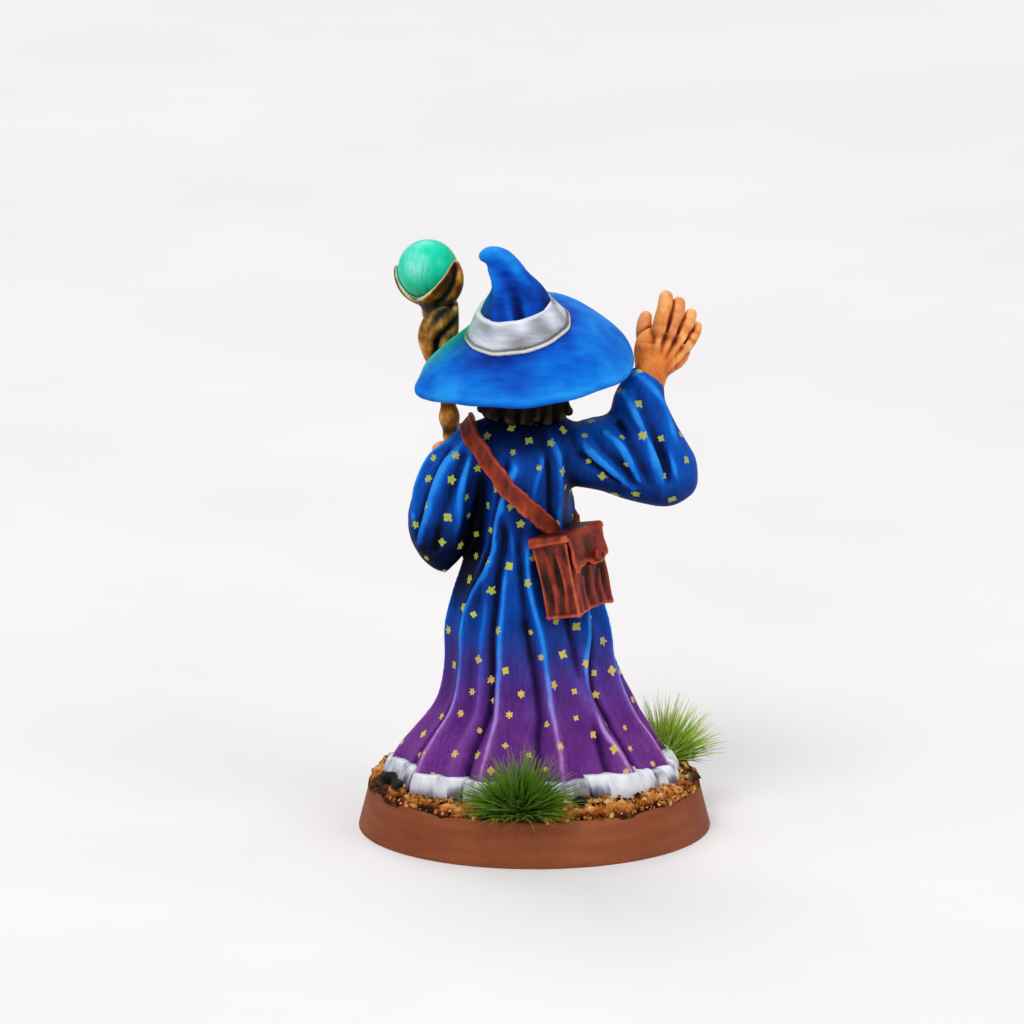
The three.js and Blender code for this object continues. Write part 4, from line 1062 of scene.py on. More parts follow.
def band_field(x, y, z):
    x, y, z = to_hat(x, y, z)
    turn = np.arctan2(y, x)
    radius = np.sqrt(x * x + y * y)
    dent = 0.04 * np.sin(7 * turn + 0.6) + 0.03 * np.sin(11 * turn + 2)
    d = segment_gap(radius, z, 3.3 + dent, 0.75, 2.5 + dent, 2.1) - 0.24
    d = smooth_min(d, segment_gap(radius, z, 3.6 + dent, 0.42, 3.62 + dent, 0.46) - 0.18, 0.06)
    d = smooth_min(d, segment_gap(radius, z, 3.2 + dent, 0.5, 3.3 + dent, 0.7) - 0.2, 0.06)
    return d.astype(np.float32)


def band_piece(material):
    clay = clay_round("hat_band", 0.6, 0.6, 0.08).fill(band_field)
    skin = sculpt("hat_band_ring", clay, "hat_band", "hat_band", material, 2)
    skin.rim = np.clip((to_hat(*skin.points.T)[2] - 0.3) / 2.1, 0, 1)


# ---------------------------------------------------------------- head, hair and beard
HEAD = middle("head") * (1, 0, 0) + (0, -0.35, middle("head")[2] + 0.8)
HEAD_TURN = rotation("X", -9)


def on_head(points):
    return [tuple(HEAD + HEAD_TURN @ np.array(p, float)) for p in points]


def head_blob(centre, radii):
    return blob(on_head([centre])[0], radii, HEAD_TURN)


def head_bar(points, radii):
    return bar(on_head(points), radii)


def head_piece(material):
    clay = clay_round("head", 0.9, 0.6, 0.055)
    clay.add(head_blob((0, 0.15, 0.3), (1.85, 2.15, 2.2)))
    clay.add(head_blob((0, -0.55, -1.05), (1.3, 1.4, 1.45)), 0.6)
    clay.add(bar([HEAD + (0, 0.4, -1.6), HEAD + (-0.2, 0.3, -4.2)], [1.2, 1.3]), 0.4)
    clay.add(head_bar([(-1.05, -1.62, 0.55), (0, -2.0, 0.5), (1.05, -1.62, 0.55)], [0.2, 0.16, 0.2]), 0.3)
    clay.add(head_bar([(0, -1.9, 0.4), (0, -2.28, -0.2), (0, -2.5, -0.66)], [0.16, 0.19, 0.26]), 0.2)
    for side in (-1, 1):
        clay.cut(head_blob((0.66 * side, -2.2, 0.08), (0.42, 0.36, 0.27)), 0.25)
        clay.add(head_blob((0.98 * side, -1.5, -0.55), (0.5, 0.42, 0.42)), 0.5)
        clay.add(head_blob((0.24 * side, -2.22, -0.76), (0.2, 0.22, 0.15)), 0.12)
        clay.add(head_bar([(0.28 * side, -2.0, 0.24), (0.64 * side, -2.02, 0.33), (1.02 * side, -1.72, 0.2)],
                          [0.07, 0.09, 0.07]), 0.1)
        clay.add(head_bar([(0.34 * side, -1.98, -0.12), (0.66 * side, -1.98, -0.22),
                           (0.98 * side, -1.72, -0.1)], [0.05, 0.07, 0.05]), 0.12)
        clay.add(head_blob((1.86 * side, 0.1, -0.15), (0.25, 0.5, 0.62)), 0.15)
        clay.cut(head_blob((2.06 * side, 0.02, -0.1), (0.14, 0.26, 0.36)), 0.1)
    lip = [(-0.46, -1.86, -1.4), (0, -2.04, -1.36), (0.46, -1.86, -1.4)]
    clay.add(head_bar(lip, [0.09, 0.14, 0.09]), 0.12)
    clay.add(head_bar([(-0.38, -1.86, -1.6), (0, -2.02, -1.64), (0.38, -1.86, -1.6)], [0.1, 0.16, 0.1]), 0.12)
    mouth = [(-0.44, -2.0, -1.49), (0, -2.2, -1.5), (0.44, -2.0, -1.49)]
    clay.cut(head_bar(mouth, [0.035, 0.05, 0.035]), 0.05)
    clay.cut(blob(HEAD + (0, 0, 8.2), (9, 9, 5.9)), 0.1)
    sculpt("head_skin", clay, "head", "skin", material, 2)


def eyes():
    points, faces = ball(4)
    for side, name in ((-1, "right_eye"), (1, "left_eye")):
        centre, iris = on_head([(0.66 * side, -1.58, 0.04), (0.64 * side, -1.98, 0.03)])
        mesh_object(name, np.array(centre) + 0.4 * points, faces, None, eye_look(centre, iris))


def locks(clay, starts, ends, bow, sizes, seed, turns=0.35, blend=0.14):
    """Locks of hair from each start to its end, each with a slow twist of its own."""
    rng = np.random.default_rng(seed)
    for start, end in zip(starts, ends):
        start, end = np.array(start, float), np.array(end, float)
        phase = rng.uniform(0, 6.28)
        line = []
        for t in np.linspace(0, 1, 6):
            sway = turns * np.array([math.sin(phase + 4.5 * t), math.cos(phase + 4.5 * t), 0]) * t
            line.append(start + (end - start) * t + np.array(bow) * math.sin(math.pi * t) + sway)
        sizes_here = [sizes[0], sizes[1], sizes[1], 0.85 * sizes[1], 0.6 * sizes[1], sizes[2]]
        scale = rng.uniform(0.85, 1.15)
        clay.add(bar(line, [scale * s for s in sizes_here], 3), blend)


def hair_piece(material):
    clay = clay_round("hair", (0.9, 0.9, 0.9), (0.9, 0.9, 0.6), 0.075)
    clay.add(blob(HEAD + (-0.1, 0.9, -1.6), (2.75, 2.2, 3.1)))
    starts, ends = [], []
    for turn in np.linspace(-84, 84, 21):
        s, c = math.sin(math.radians(turn)), math.cos(math.radians(turn))
        starts.append(HEAD + (2.1 * s, 0.5 + 2.0 * c, 0.1))
        ends.append(HEAD + (3.0 * s - 0.15, 0.75 + 2.3 * c, -3.35 + 0.3 * abs(s) + 0.2 * math.sin(turn)))
    locks(clay, starts, ends, (0, 0.25, 0), (0.4, 0.52, 0.3), 5, 0.2, 0.26)
    clay.cut(blob(HEAD + (0, -1.9, -0.5), (1.75, 1.9, 2.6)), 0.2)
    sculpt("hair_locks", clay, "hair", "hair", material, 1)


def beard_piece(material):
    clay = clay_round("beard", 0.9, 0.7, 0.075)
    starts, ends = [], []
    for row, (depth, drop) in enumerate(((-1.55, -2.0), (-1.95, -1.75))):
        for k in np.linspace(-1, 1, 7):
            starts.append(on_head([(1.35 * k, depth + 0.75 * abs(k), drop + 0.35 * abs(k))])[0])
            ends.append(HEAD + (0.55 * k - 0.15, -3.35 - 0.35 * row + 0.3 * abs(k), -8.2 + 2.6 * abs(k)))
    locks(clay, starts, ends, (0, -0.55, 0), (0.4, 0.52, 0.16), 11)
    for side in (-1, 1):
        lip = on_head([(0.08 * side, -2.3, -1.12), (0.6 * side, -2.25, -1.3), (1.15 * side, -1.95, -2.0),
                       (1.25 * side, -2.1, -3.0)])
        clay.add(bar(lip, [0.16, 0.3, 0.26, 0.1]), 0.08)
        cheek = on_head([(1.72 * side, -0.25, -0.5), (1.55 * side, -0.8, -1.4), (1.1 * side, -1.5, -2.3)])
        clay.add(bar(cheek, [0.28, 0.45, 0.5]), 0.2)
        brow = on_head([(0.25 * side, -2.2, 0.56), (0.75 * side, -2.12, 0.68), (1.25 * side, -1.75, 0.56)])
        sculpt_brow = Clay(np.min(brow, axis=0) - 0.4, np.max(brow, axis=0) + 0.4, 0.06)
        sculpt_brow.add(bar(brow, [0.12, 0.15, 0.06]))
        sculpt("brow_right" if side < 0 else "brow_left", sculpt_brow, [], "hair", material, 1)
    sculpt("beard_locks", clay, "beard", "hair", material, 1)


# ---------------------------------------------------------------- hands


def right_hand_piece(material):
    clay = clay_round("right_hand", (0.8, 1.2, 5.2), 0.8, 0.07)

    def at(x, z, y=-1.6):
        return (x, y, z)

    wrist = [at(-8.1, 26.8, -0.7), at(-7.95, 29.2, -1.05), at(-8.0, 31.2, -1.2)]
    wrist += [at(-8.25, 32.6, -1.35), at(-8.5, 33.5)]
    clay.add(bar(wrist, [0.85, 1.0, 1.06, 1.16, 1.22]))
    clay.add(blob(at(-9.0, 34.4), (1.8, 0.8, 1.6), rotation("Y", -22)), 0.7)
    clay.add(blob(at(-8.02, 34.0, -1.75), (0.86, 0.76, 1.5), rotation("Y", 3)), 0.5)
    clay.add(blob(at(-9.95, 33.9, -1.65), (0.85, 0.72, 1.3), rotation("Y", -40)), 0.5)
    fingers = [
        ([at(-8.7, 34.8), at(-8.98, 36.2, -1.4), at(-9.24, 37.3, -1.5), at(-9.3, 38.05, -1.9)],
         [0.62, 0.64, 0.58, 0.5]),
        ([at(-9.3, 34.8), at(-9.78, 36.1, -1.38), at(-10.1, 37.0, -1.6), at(-10.2, 37.55, -2.1)],
         [0.6, 0.6, 0.55, 0.48]),
        ([at(-9.9, 34.6), at(-10.5, 35.7, -1.42), at(-10.92, 36.4, -1.7), at(-11.08, 36.75, -2.2)],
         [0.58, 0.56, 0.48, 0.42]),
        ([at(-10.25, 34.2), at(-10.9, 34.95, -1.5), at(-11.32, 35.5, -1.8), at(-11.48, 35.8, -2.3)],
         [0.55, 0.52, 0.45, 0.38]),
        ([at(-8.0, 34.3, -1.9), at(-7.76, 35.3, -2.15), at(-7.78, 36.0, -2.4), at(-7.88, 36.4, -2.8)],
         [0.62, 0.58, 0.53, 0.44]),
    ]
    for path, sizes in fingers:
        clay.add(bar(path, sizes), 0.08)
    # Knuckles, tendons and the creases between them.
    for x, z in ((-8.95, 36.0), (-9.8, 35.8), (-10.5, 35.35), (-10.85, 34.75)):
        clay.add(blob(at(x, z, -1.05), (0.36, 0.3, 0.4)), 0.22)
    for x, z in ((-9.2, 37.2), (-10.05, 36.85), (-10.85, 36.25), (-11.25, 35.35)):
        clay.add(blob(at(x, z, -1.22), (0.32, 0.26, 0.26)), 0.18)
    tendons = (((-8.95, 35.9), (-8.5, 33.6)), ((-9.8, 35.7), (-8.8, 33.4)),
               ((-10.45, 35.2), (-9.15, 33.3)), ((-10.8, 34.6), (-9.4, 33.1)))
    for (x, z), (x2, z2) in tendons:
        line = [at(x, z, -1.05), at((x + x2) / 2, (z + z2) / 2, -0.86), at(x2, z2, -0.95)]
        clay.add(bar(line, [0.18, 0.19, 0.1]), 0.3)
    gaps = ([(-9.38, 35.8), (-9.62, 36.7), (-9.75, 37.4)], [(-10.1, 35.6), (-10.42, 36.3), (-10.6, 36.9)],
            [(-10.6, 34.95), (-11.05, 35.6), (-11.2, 36.1)])
    for line in gaps:
        clay.cut(bar([at(x, z, -0.9) for x, z in line], [0.07, 0.12, 0.14]), 0.12)
    sculpt("right_hand_skin", clay, "right_hand", "skin", material, 2)


def left_hand_piece(material):
    clay = clay_round("left_hand", 0.6, 0.6, 0.06)
    grip = np.array([5.6, -6.4, 24.6])
    clay.add(bar([(6.1, -3.2, 22.9), (5.95, -5.0, 24.0)], [1.0, 0.95]))
    clay.add(blob(grip + (0.35, 0.95, 0.1), (0.75, 0.8, 1.45)), 0.5)
    for k, z in enumerate((-1.02, -0.28, 0.46, 1.18)):
        path = [grip + (0.7, 0.7, z), grip + (1.25, -0.35, z + 0.03), grip + (0.55, -1.2, z + 0.05),
                grip + (-0.55, -1.1, z), grip + (-0.95, -0.45, z - 0.02)]
        scale = (0.42, 0.46, 0.46, 0.43)[k]
        clay.add(bar(path, [scale, scale, 0.98 * scale, 0.92 * scale, 0.8 * scale]), 0.08)
        clay.add(blob(grip + (1.3, -0.3, z), (0.25, 0.3, 0.26)), 0.15)
    clay.add(bar([grip + (-0.2, 1.2, 0.5), grip + (-0.95, 0.5, 1.2), grip + (-0.6, -0.55, 1.75)],
                 [0.55, 0.48, 0.4]), 0.2)
    sculpt("left_hand_skin", clay, "left_hand", "skin", material, 2)


# ---------------------------------------------------------------- staff
STAFF_LOW, STAFF_HIGH = node_box("staff_shaft")


def staff_piece(material):
    clay = Clay(STAFF_LOW - (0.9, 0.9, 0.3), STAFF_HIGH + (1.3, 1.1, 0.5), 0.09)
    foot = (2.2, -9.6, STAFF_LOW[2] - 0.2)
    shaft = [foot, (2.9, -8.95, 8.2), (3.55, -8.35, 12.4), (4.05, -7.85, 16), (4.65, -7.2, 19.4),
             (5.15, -6.75, 22), (5.6, -6.4, 24.6), (5.95, -6.1, 27.6), (6.2, -6.0, 29.8),
             (6.6, -6.0, 31.6), (6.9, -6.0, 33.4), (6.85, -6.0, 36.1)]
    clay.add(bar(shaft, [0.5, 0.58, 0.5, 0.6, 0.5, 0.56, 0.5, 0.6, 0.52, 0.56, 0.72, 0.8]))
    # Roots twist up round the head of the staff and part into the claw.
    lobes = [([(7.0, -5.7, 31.6), (7.4, -5.4, 33.1), (7.6, -5.35, 34.3), (7.25, -5.3, 35.4),
               (6.4, -5.4, 36.4)], [0.3, 0.52, 0.68, 0.7, 0.6]),
             ([(6.0, -5.6, 31.9), (6.25, -5.3, 33.4), (6.0, -5.4, 34.7), (5.9, -5.7, 35.7),
               (5.9, -5.8, 36.6)], [0.3, 0.6, 0.62, 0.55, 0.5]),
             ([(6.6, -6.6, 31.4), (6.3, -6.9, 33.2), (6.9, -7.0, 34.6), (7.4, -6.8, 35.8),
               (7.4, -6.5, 36.4)], [0.3, 0.5, 0.6, 0.6, 0.5]),
             ([(5.7, -5.2, 36.4), (6.5, -4.95, 35.6), (7.2, -4.95, 34.8), (7.7, -5.1, 33.8)],
              [0.34, 0.5, 0.46, 0.2])]
    for path, sizes in lobes:
        clay.add(bar(path, sizes), 0.14)
    clay.cut(bar([(6.75, -4.6, 33.0), (6.85, -4.6, 34.0), (6.5, -4.6, 34.7)], [0.12, 0.24, 0.12]), 0.2)
    clay.add(blob((6.05, -5.85, 28.35), (0.74, 0.72, 0.85)), 0.3)
    clay.add(blob((5.9, -6.2, 26.9), (0.6, 0.6, 0.5)), 0.2)
    for k, (x, y, z) in enumerate(((2.9, -8.95, 8.2), (3.9, -8.0, 15.0), (5.0, -6.9, 21.0))):
        clay.add(blob((x + 0.2 * (-1) ** k, y - 0.1, z), (0.55, 0.55, 0.7)), 0.3)
    # A root winds round the shaft.
    wind = []
    for t in np.linspace(0.05, 0.62, 26):
        p = np.array(foot) + (np.array([5.9, -6.2, 27.0]) - foot) * t
        turn = 26 * t
        wind.append(p + 0.42 * np.array([math.cos(turn), math.sin(turn), 0]))
    clay.add(bar(wind, [0.26] * len(wind), 3), 0.15)
    sculpt("staff_wood", clay, "staff_shaft", "wood", material, 2)


# The claw's prongs: the turn of each, how high it climbs round the orb, and how wide it is.
PRONGS = ((-10, 4, 0.34), (152, 22, 0.66), (-90, 4, 0.4))


def claw_field(x, y, z):
    x, y, z = x - ORB[0], y - ORB[1], z - ORB[2]
    away = np.sqrt(x * x + y * y + z * z)
    turn = np.degrees(np.arctan2(y, x))
    rise = np.degrees(np.arcsin(np.clip(z / away.clip(1e-3), -1, 1)))
    deep = 0.2 + 0.16 * smoothstep(-20, -70, rise)
    shell = np.maximum(away - (ORB_RADIUS + deep), ORB_RADIUS + 0.03 - away)
    limit = -58.0
    for at, top, wide in PRONGS:
        gap = np.radians((turn - at + 180) % 360 - 180)
        limit = limit + (top + 58) * np.exp(-((gap / (1.5 * wide)) ** 2))
    over = (rise - limit) * math.pi / 180 * away * 0.7
    return np.maximum(shell, over).astype(np.float32)


def claw_piece(material):
    clay = clay_round("staff_claw", 0.7, 0.7, 0.06)
    clay.fill(claw_field)
    neck = ORB + (-0.45, 0.1, -ORB_RADIUS - 0.3)
    stem = [neck + (0.1, 0, 0.15), neck + (-0.15, 0, -0.5), (6.6, -5.9, 35.7)]
    clay.add(bar(stem, [0.95, 0.85, 0.85]), 0.4)
    for at, top, wide in PRONGS:
        spine = []
        side = math.radians(at)
        for rise in np.linspace(-72, top - 2, 6):
            r = ORB_RADIUS + 0.08 + 0.32 * wide
            c, s = math.cos(math.radians(rise)), math.sin(math.radians(rise))
            spine.append(ORB + r * np.array([c * math.cos(side), c * math.sin(side), s]))
        sizes = [1.0 * wide, 0.95 * wide, 0.85 * wide, 0.72 * wide, 0.5 * wide, 0.12]
        clay.add(bar(spine, sizes), 0.14)
    clay.cut(blob(ORB, (ORB_RADIUS + 0.02,) * 3), 0.0)
    skin = sculpt("staff_claw_cup", clay, "staff_claw", "wood", material, 2)
    # The lip round the orb takes the pale green painted highlight.
    away = np.linalg.norm(skin.points - ORB, axis=1)
    inner = smoothstep(ORB_RADIUS + 0.2, ORB_RADIUS + 0.12, away)
    skin.edge = inner * (skin.points[:, 2] > ORB[2] - ORB_RADIUS - 0.2)


def orb_piece(material):
    points, faces = ball(5)
    mesh_object("staff_orb_gem", ORB + ORB_RADIUS * points, faces, "staff_orb", material)


# ---------------------------------------------------------------- satchel
BAG_TURN = rotation("X", 5) @ rotation("Y", 11) @ rotation("Z", 58)
BAG = middle("satchel_body")
BAG_HALF = np.array([2.4, 1.42, 2.86])


def to_bag(x, y, z):
    x, y, z = x - BAG[0], y - BAG[1], z - BAG[2]
    return [BAG_TURN[0, k] * x + BAG_TURN[1, k] * y + BAG_TURN[2, k] * z for k in range(3)]


def on_bag(points):
    return [tuple(BAG + BAG_TURN @ np.array(p, float)) for p in points]


def bag_box(x, y, z, grow, corner=0.3):
    """A soft box: its sides pull in between the corners, and it narrows a little at the bottom."""
    share = np.clip(z / BAG_HALF[2], -1, 1)
    spread = 1 - 0.03 * (1 - share)
    bulge = 1 - share * share
    hx = BAG_HALF[0] * spread * (1 - 0.05 * bulge * (1 - (y / 1.6) ** 2).clip(0, 1))
    hy = BAG_HALF[1] * spread * (1 - 0.12 * bulge * (1 - (x / 2.6) ** 2).clip(0, 1))
    sag = 0.3 * (1 - (x / 2.6) ** 2).clip(0, 1) * (share < 0)
    hz = BAG_HALF[2] - sag + 0.1 * np.sin(2.6 * x + 1.1) * (share < 0)
    qx, qy, qz = (np.abs(a) - half - grow + corner for a, half in ((x, hx), (y, hy), (z, hz)))
    outside = np.sqrt(qx.clip(0) ** 2 + qy.clip(0) ** 2 + qz.clip(0) ** 2)
    return outside + np.minimum(np.maximum(np.maximum(qx, qy), qz), 0) - corner


def bag_field(x, y, z):
    x, y, z = to_bag(x, y, z)
    folds = 0.1 * np.sin(3.2 * x + 0.8 * z + 0.5) * (y > 0)
    folds = folds + 0.09 * np.sin(4.2 * y + 1.1 * z) * (np.abs(x) > 1.9)
    return (bag_box(x, y, z, 0.0, 0.26) + folds * (1 - np.clip(z / 2.8, -1, 1) ** 2)).astype(np.float32)


def flap_field(x, y, z):
    x, y, z = to_bag(x, y, z)
    top = BAG_HALF[2]
    drop = np.clip(top - z, 0, 3)
    lean = 0.1 * drop * (y > 0)
    outer = bag_box(x, y - lean, z, 0.26, 0.3)
    inner = bag_box(x, y - lean, z, 0.03, 0.2)
    scallop = 0.2 * np.sin(2.1 * x + 0.4) + 0.06 * np.sin(5.3 * x)
    front = np.maximum(BAG_HALF[1] - 0.15 - y, (top - 2.35 + scallop) - z)
    front = np.maximum(front, np.abs(x + 0.05) - 2.2 + 0.05 * np.sin(4 * z))
    lid = (top - 0.3 + 0.1 * np.sin(2.5 * x + y)) - z
    region = np.minimum(front, lid)
    return np.maximum(np.maximum(outer, -inner), region).astype(np.float32)


def edge_of_bag(skin):
    """How near each point is to the bag's edges, which take a painted highlight, broken up in patches."""
    x, y, z = to_bag(*skin.points.T)
    gaps = [np.abs(BAG_HALF[k] * 0.98 - np.abs(q)) for k, q in enumerate((x, y, z))]
    gaps = np.sort(np.stack(gaps), axis=0)
    patchy = 0.6 + 0.5 * lattice_noise(skin.points, 0.7, 31)
    return smoothstep(0.36, 0.1, np.hypot(gaps[0], gaps[1])) * np.clip(patchy, 0, 1)


def satchel_pieces(material):
    low, high = node_box("satchel_body")
    low, high = np.minimum(low, node_box("satchel_flap")[0]), np.maximum(high, node_box("satchel_flap")[1])
    clay = Clay(low - 0.6, high + 0.6, 0.07).fill(bag_field)
    hx, hy, hz = BAG_HALF * (0.97, 0.97, 0.97)

    def welt(line, radii, blend):
        clay.add(bar(on_bag(line), radii), blend)

    # Piped edges: four uprights, and round the bottom.
    for sx, sy in ((1, 1), (-1, 1), (1, -1), (-1, -1)):
        line = [(0.95 * hx * sx, 0.94 * hy * sy, -0.97 * hz), (0.96 * hx * sx, 0.93 * hy * sy, 0)]
        welt([*line, (hx * sx, hy * sy, 0.9 * hz)], [0.13, 0.08, 0.1], 0.14)
    for sy in (1, -1):
        line = [(-0.95 * hx, 0.93 * hy * sy, -0.97 * hz), (0, 0.9 * hy * sy, -0.9 * hz)]
        welt([*line, (0.95 * hx, 0.93 * hy * sy, -0.97 * hz)], [0.13, 0.08, 0.13], 0.14)
    for sx in (1, -1):
        line = [(0.95 * hx * sx, -0.93 * hy, -0.97 * hz), (0.95 * hx * sx, 0.93 * hy, -0.97 * hz)]
        welt(line, [0.12, 0.12], 0.14)
    # Slack folds in the front and the ends.
    for x, z0, z1 in ((-1.35, -2.4, -0.2), (-0.25, -2.5, 0.3), (0.85, -2.4, -0.3), (1.7, -2.3, 0.5)):
        line = [(x, hy - 0.1, z0), (x + 0.14, hy - 0.2, (z0 + z1) / 2), (x - 0.05, hy - 0.1, z1)]
        welt(line, [0.1, 0.15, 0.06], 0.3)
    for x, z in ((-0.85, -1.2), (0.35, -1.3)):
        line = [(x, hy + 0.08, z - 0.9), (x + 0.1, hy + 0.02, z), (x, hy + 0.08, z + 1.0)]
        clay.cut(bar(on_bag(line), [0.08, 0.2, 0.1]), 0.25)
    for side in (1, -1):
        for y0 in (0.45, -0.45):
            line = [(side * (hx - 0.08), y0, -2.3), (side * (hx - 0.14), y0 + 0.15, -0.4)]
            welt([*line, (side * (hx - 0.08), y0, 1.6)], [0.08, 0.13, 0.06], 0.3)
    skin = sculpt("satchel_bag", clay, "satchel_body", "leather", material, 2)
    skin.edge = edge_of_bag(skin)
    clay = Clay(low - 0.9, high + 0.9, 0.06).fill(flap_field)
    skin = sculpt("satchel_flap_cover", clay, "satchel_flap", "leather", material, 2)
    x, _, z = to_bag(*skin.points.T)
    # The flap's scalloped lower edge and its sides take the painted edge highlight too.
    scallop = 0.24 * np.abs(np.sin(1.3 * x + 0.4))
    low_edge = smoothstep(0.4, 0.1, z - (BAG_HALF[2] - 2.3 + scallop))
    side_edge = smoothstep(0.36, 0.08, 2.25 - np.abs(x + 0.05)) * (z < BAG_HALF[2] - 0.1)
    skin.edge = np.maximum.reduce([edge_of_bag(skin), low_edge, side_edge])
    clay = clay_round("satchel_button", 0.4, 0.4, 0.04)
    spot = middle("satchel_button")
    clay.add(blob(spot, (0.5, 0.3, 0.5), BAG_TURN))
    clay.cut(blob(spot + BAG_TURN @ np.array([0, 0.34, 0]), (0.26, 0.14, 0.26), BAG_TURN), 0.08)
    skin = sculpt("satchel_stud", clay, "satchel_button", "leather", material, 2)
    # The stud takes a little painted highlight all over.
    skin.edge = 0.25 + 0 * skin.points[:, 0]


def blur_rows(rows, reach):
    """Each row's mean with its neighbours up to reach rows away."""
    rows = np.asarray(rows, float)
    flat = rows.reshape(len(rows), -1)
    padded = np.pad(flat, [(reach, reach), (0, 0)], mode="edge")
    total = sum(padded[k : k + len(flat)] for k in range(2 * reach + 1)) / (2 * reach + 1)
    return total.reshape(rows.shape)


# The strap's line: its angle and height on the robe, and how far it stands off where it crosses the shoulder.
STRAP = [(42, 21.5, 0), (27, 22.7, 0), (14, 23.5, 0), (0, 24.4, 0), (-15, 25.45, 0), (-31, 26.8, 0.12),
         (-46, 28.0, 0.4), (-66, 29.0, 0.95), (-90, 29.5, 1.45), (-112, 28.9, 0.9), (-134, 27.5, 0.25),
         (-156, 26.1, 0), (-178, 24.9, 0), (-202, 23.6, 0), (-226, 22.5, 0), (-250, 21.9, 0),
         (-266, 21.4, 0), (-278, 21.0, 0)]


def strap_piece(material):
    path = spline(STRAP, 14)
    wide, thick = 0.62, 0.46
    half_section = [(-1, 0), (-1.03, 0.6), (-0.94, 0.95), (-0.82, 1.0), (-0.64, 0.84)]
    section = half_section + [(-0.25, 0.92), (0.2, 0.84)] + [(-w, n) for w, n in half_section[::-1]]

    def plain(angle, z, out):
        """A point out from the robe with its folds smoothed away."""
        return robe_point(angle, z, out - float(fold_relief(np.float64(angle), np.float64(z), 3.8)))

    near = ((0, 0), (9, 0.5), (-9, -0.5), (5, -0.6), (-5, 0.6))
    lift = [max(float(fold_relief(np.float64(a + da), np.float64(z + dz), 3.8)) for da,
                dz in near) + off for a, z, off in path]
    lift = np.maximum(blur_rows(lift, 13), blur_rows(lift, 5) - 0.1)
    line = blur_rows([plain(a, z, out) for (a, z, _), out in zip(path, lift)], 7)
    along = np.gradient(line, axis=0)
    along /= np.linalg.norm(along, axis=1, keepdims=True)
    under = 1.2 + 2.6 * smoothstep(27.2, 29.4, line[:, 2])
    centre = np.stack([0.55 + 0 * line[:, 0], 0 * line[:, 1], line[:, 2] - under], axis=1)
    away = line - centre
    away -= np.sum(away * along, axis=1, keepdims=True) * along
    away = blur_rows(away / np.linalg.norm(away, axis=1, keepdims=True), 6)
    away /= np.linalg.norm(away, axis=1, keepdims=True)
    across = np.cross(away, along)
    points, edge = [], []
    for k in range(len(path)):
        sway = 0.04 * math.sin(0.35 * k) + 0.02 * math.sin(0.9 * k + 1)
        for w, n in section:
            half = wide * (1 + 0.04 * math.sin(0.33 * k + 2 * (w > 0)))
            lift_here = n * thick - 0.08 + 0.02 * math.sin(0.7 * k + 3 * w)
            points.append(line[k] + across[k] * (w * half + sway) + away[k] * lift_here)
            edge.append(1.0 if abs(w) > 0.7 and n > 0.5 else 0.0)
    skin = Skin(np.array(points), ring_faces(len(path), len(section)))
    skin.smooth(1)
    # The strap's raised edges take a painted highlight.
    skin.edge = 0.4 + 0.5 * skin.around(np.array(edge))
    ends = np.arange(len(points)).reshape(len(path), -1)[[0, -1]]
    skin.caps = ends.tolist()
    SCULPTED.append(("satchel_strap_leather", None, skin, "satchel_strap", "leather", material))


# ---------------------------------------------------------------- base and ground
# The slot in the base, in millimetres.
SLOT_LONG, SLOT_WIDE = 15, 1.9


def base_piece(material):
    wall, corner = 1.2, 0.1
    radius, top = BASE_RADIUS, BASE_TOP_RADIUS
    lean = (radius - top) / BASE_TOP
    profile = [(radius - wall, 0.0), (radius - corner, 0.0), (radius - 0.03, 0.04),
               (radius - lean * corner, corner), (radius - lean * 1.6, 1.6),
               (top + lean * corner, BASE_TOP - corner), (top - 0.03, BASE_TOP - 0.03),
               (top - corner, BASE_TOP), (0.0, BASE_TOP), (0.0, BASE_TOP - wall),
               (top - wall, BASE_TOP - wall), (radius - wall, 0.0)]
    shape = bmesh.new()
    verts = [shape.verts.new((r * MM, 0, z * MM)) for r, z in profile]
    edges = [shape.edges.new(pair) for pair in zip(verts, verts[1:])]
    turned = {"cent": (0, 0, 0), "axis": (0, 0, 1), "angle": 2 * math.pi, "steps": 180}
    bmesh.ops.spin(shape, geom=verts + edges, use_duplicate=False, **turned)
    bmesh.ops.remove_doubles(shape, verts=shape.verts, dist=1e-6)
    bmesh.ops.recalc_face_normals(shape, faces=shape.faces)
    mesh = bpy.data.meshes.new("base_disc")
    shape.to_mesh(mesh)
    shape.free()
    mesh.materials.append(material)
    piece = link_object("base_disc", mesh)
    cutter_mesh = bpy.data.meshes.new("slot")
    cutter = bmesh.new()
    bmesh.ops.create_cube(cutter, size=1.0)
    bmesh.ops.scale(cutter, vec=(SLOT_LONG * MM, SLOT_WIDE * MM, 8 * MM), verts=cutter.verts)
    cutter.to_mesh(cutter_mesh)
    cutter.free()
    slot = link_object("slot", cutter_mesh)
    cut = piece.modifiers.new("slot", "BOOLEAN")
    cut.object = slot
    cut.operation = "DIFFERENCE"
    cut.solver = "EXACT"
    done = bpy.data.meshes.new_from_object(piece.evaluated_get(bpy.context.evaluated_depsgraph_get()))
    piece.modifiers.clear()
    piece.data = done
    bpy.data.objects.remove(slot)
    piece.data.polygons.foreach_set("use_smooth", [True] * len(piece.data.polygons))
    piece.data.set_sharp_from_angle(angle=math.radians(35))
    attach(piece, "root")
    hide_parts("base")


def ground_height(x, y):
    p = np.stack([x, y, np.zeros_like(x)], axis=1)
    lumps = 0.34 * lattice_noise(p, 1.6, 1) + 0.24 * lattice_noise(p, 0.75, 2)
    lumps += 0.18 * lattice_noise(p, 0.36, 3) + 0.08 * lattice_noise(p, 0.18, 4)
    return 0.6 + lumps


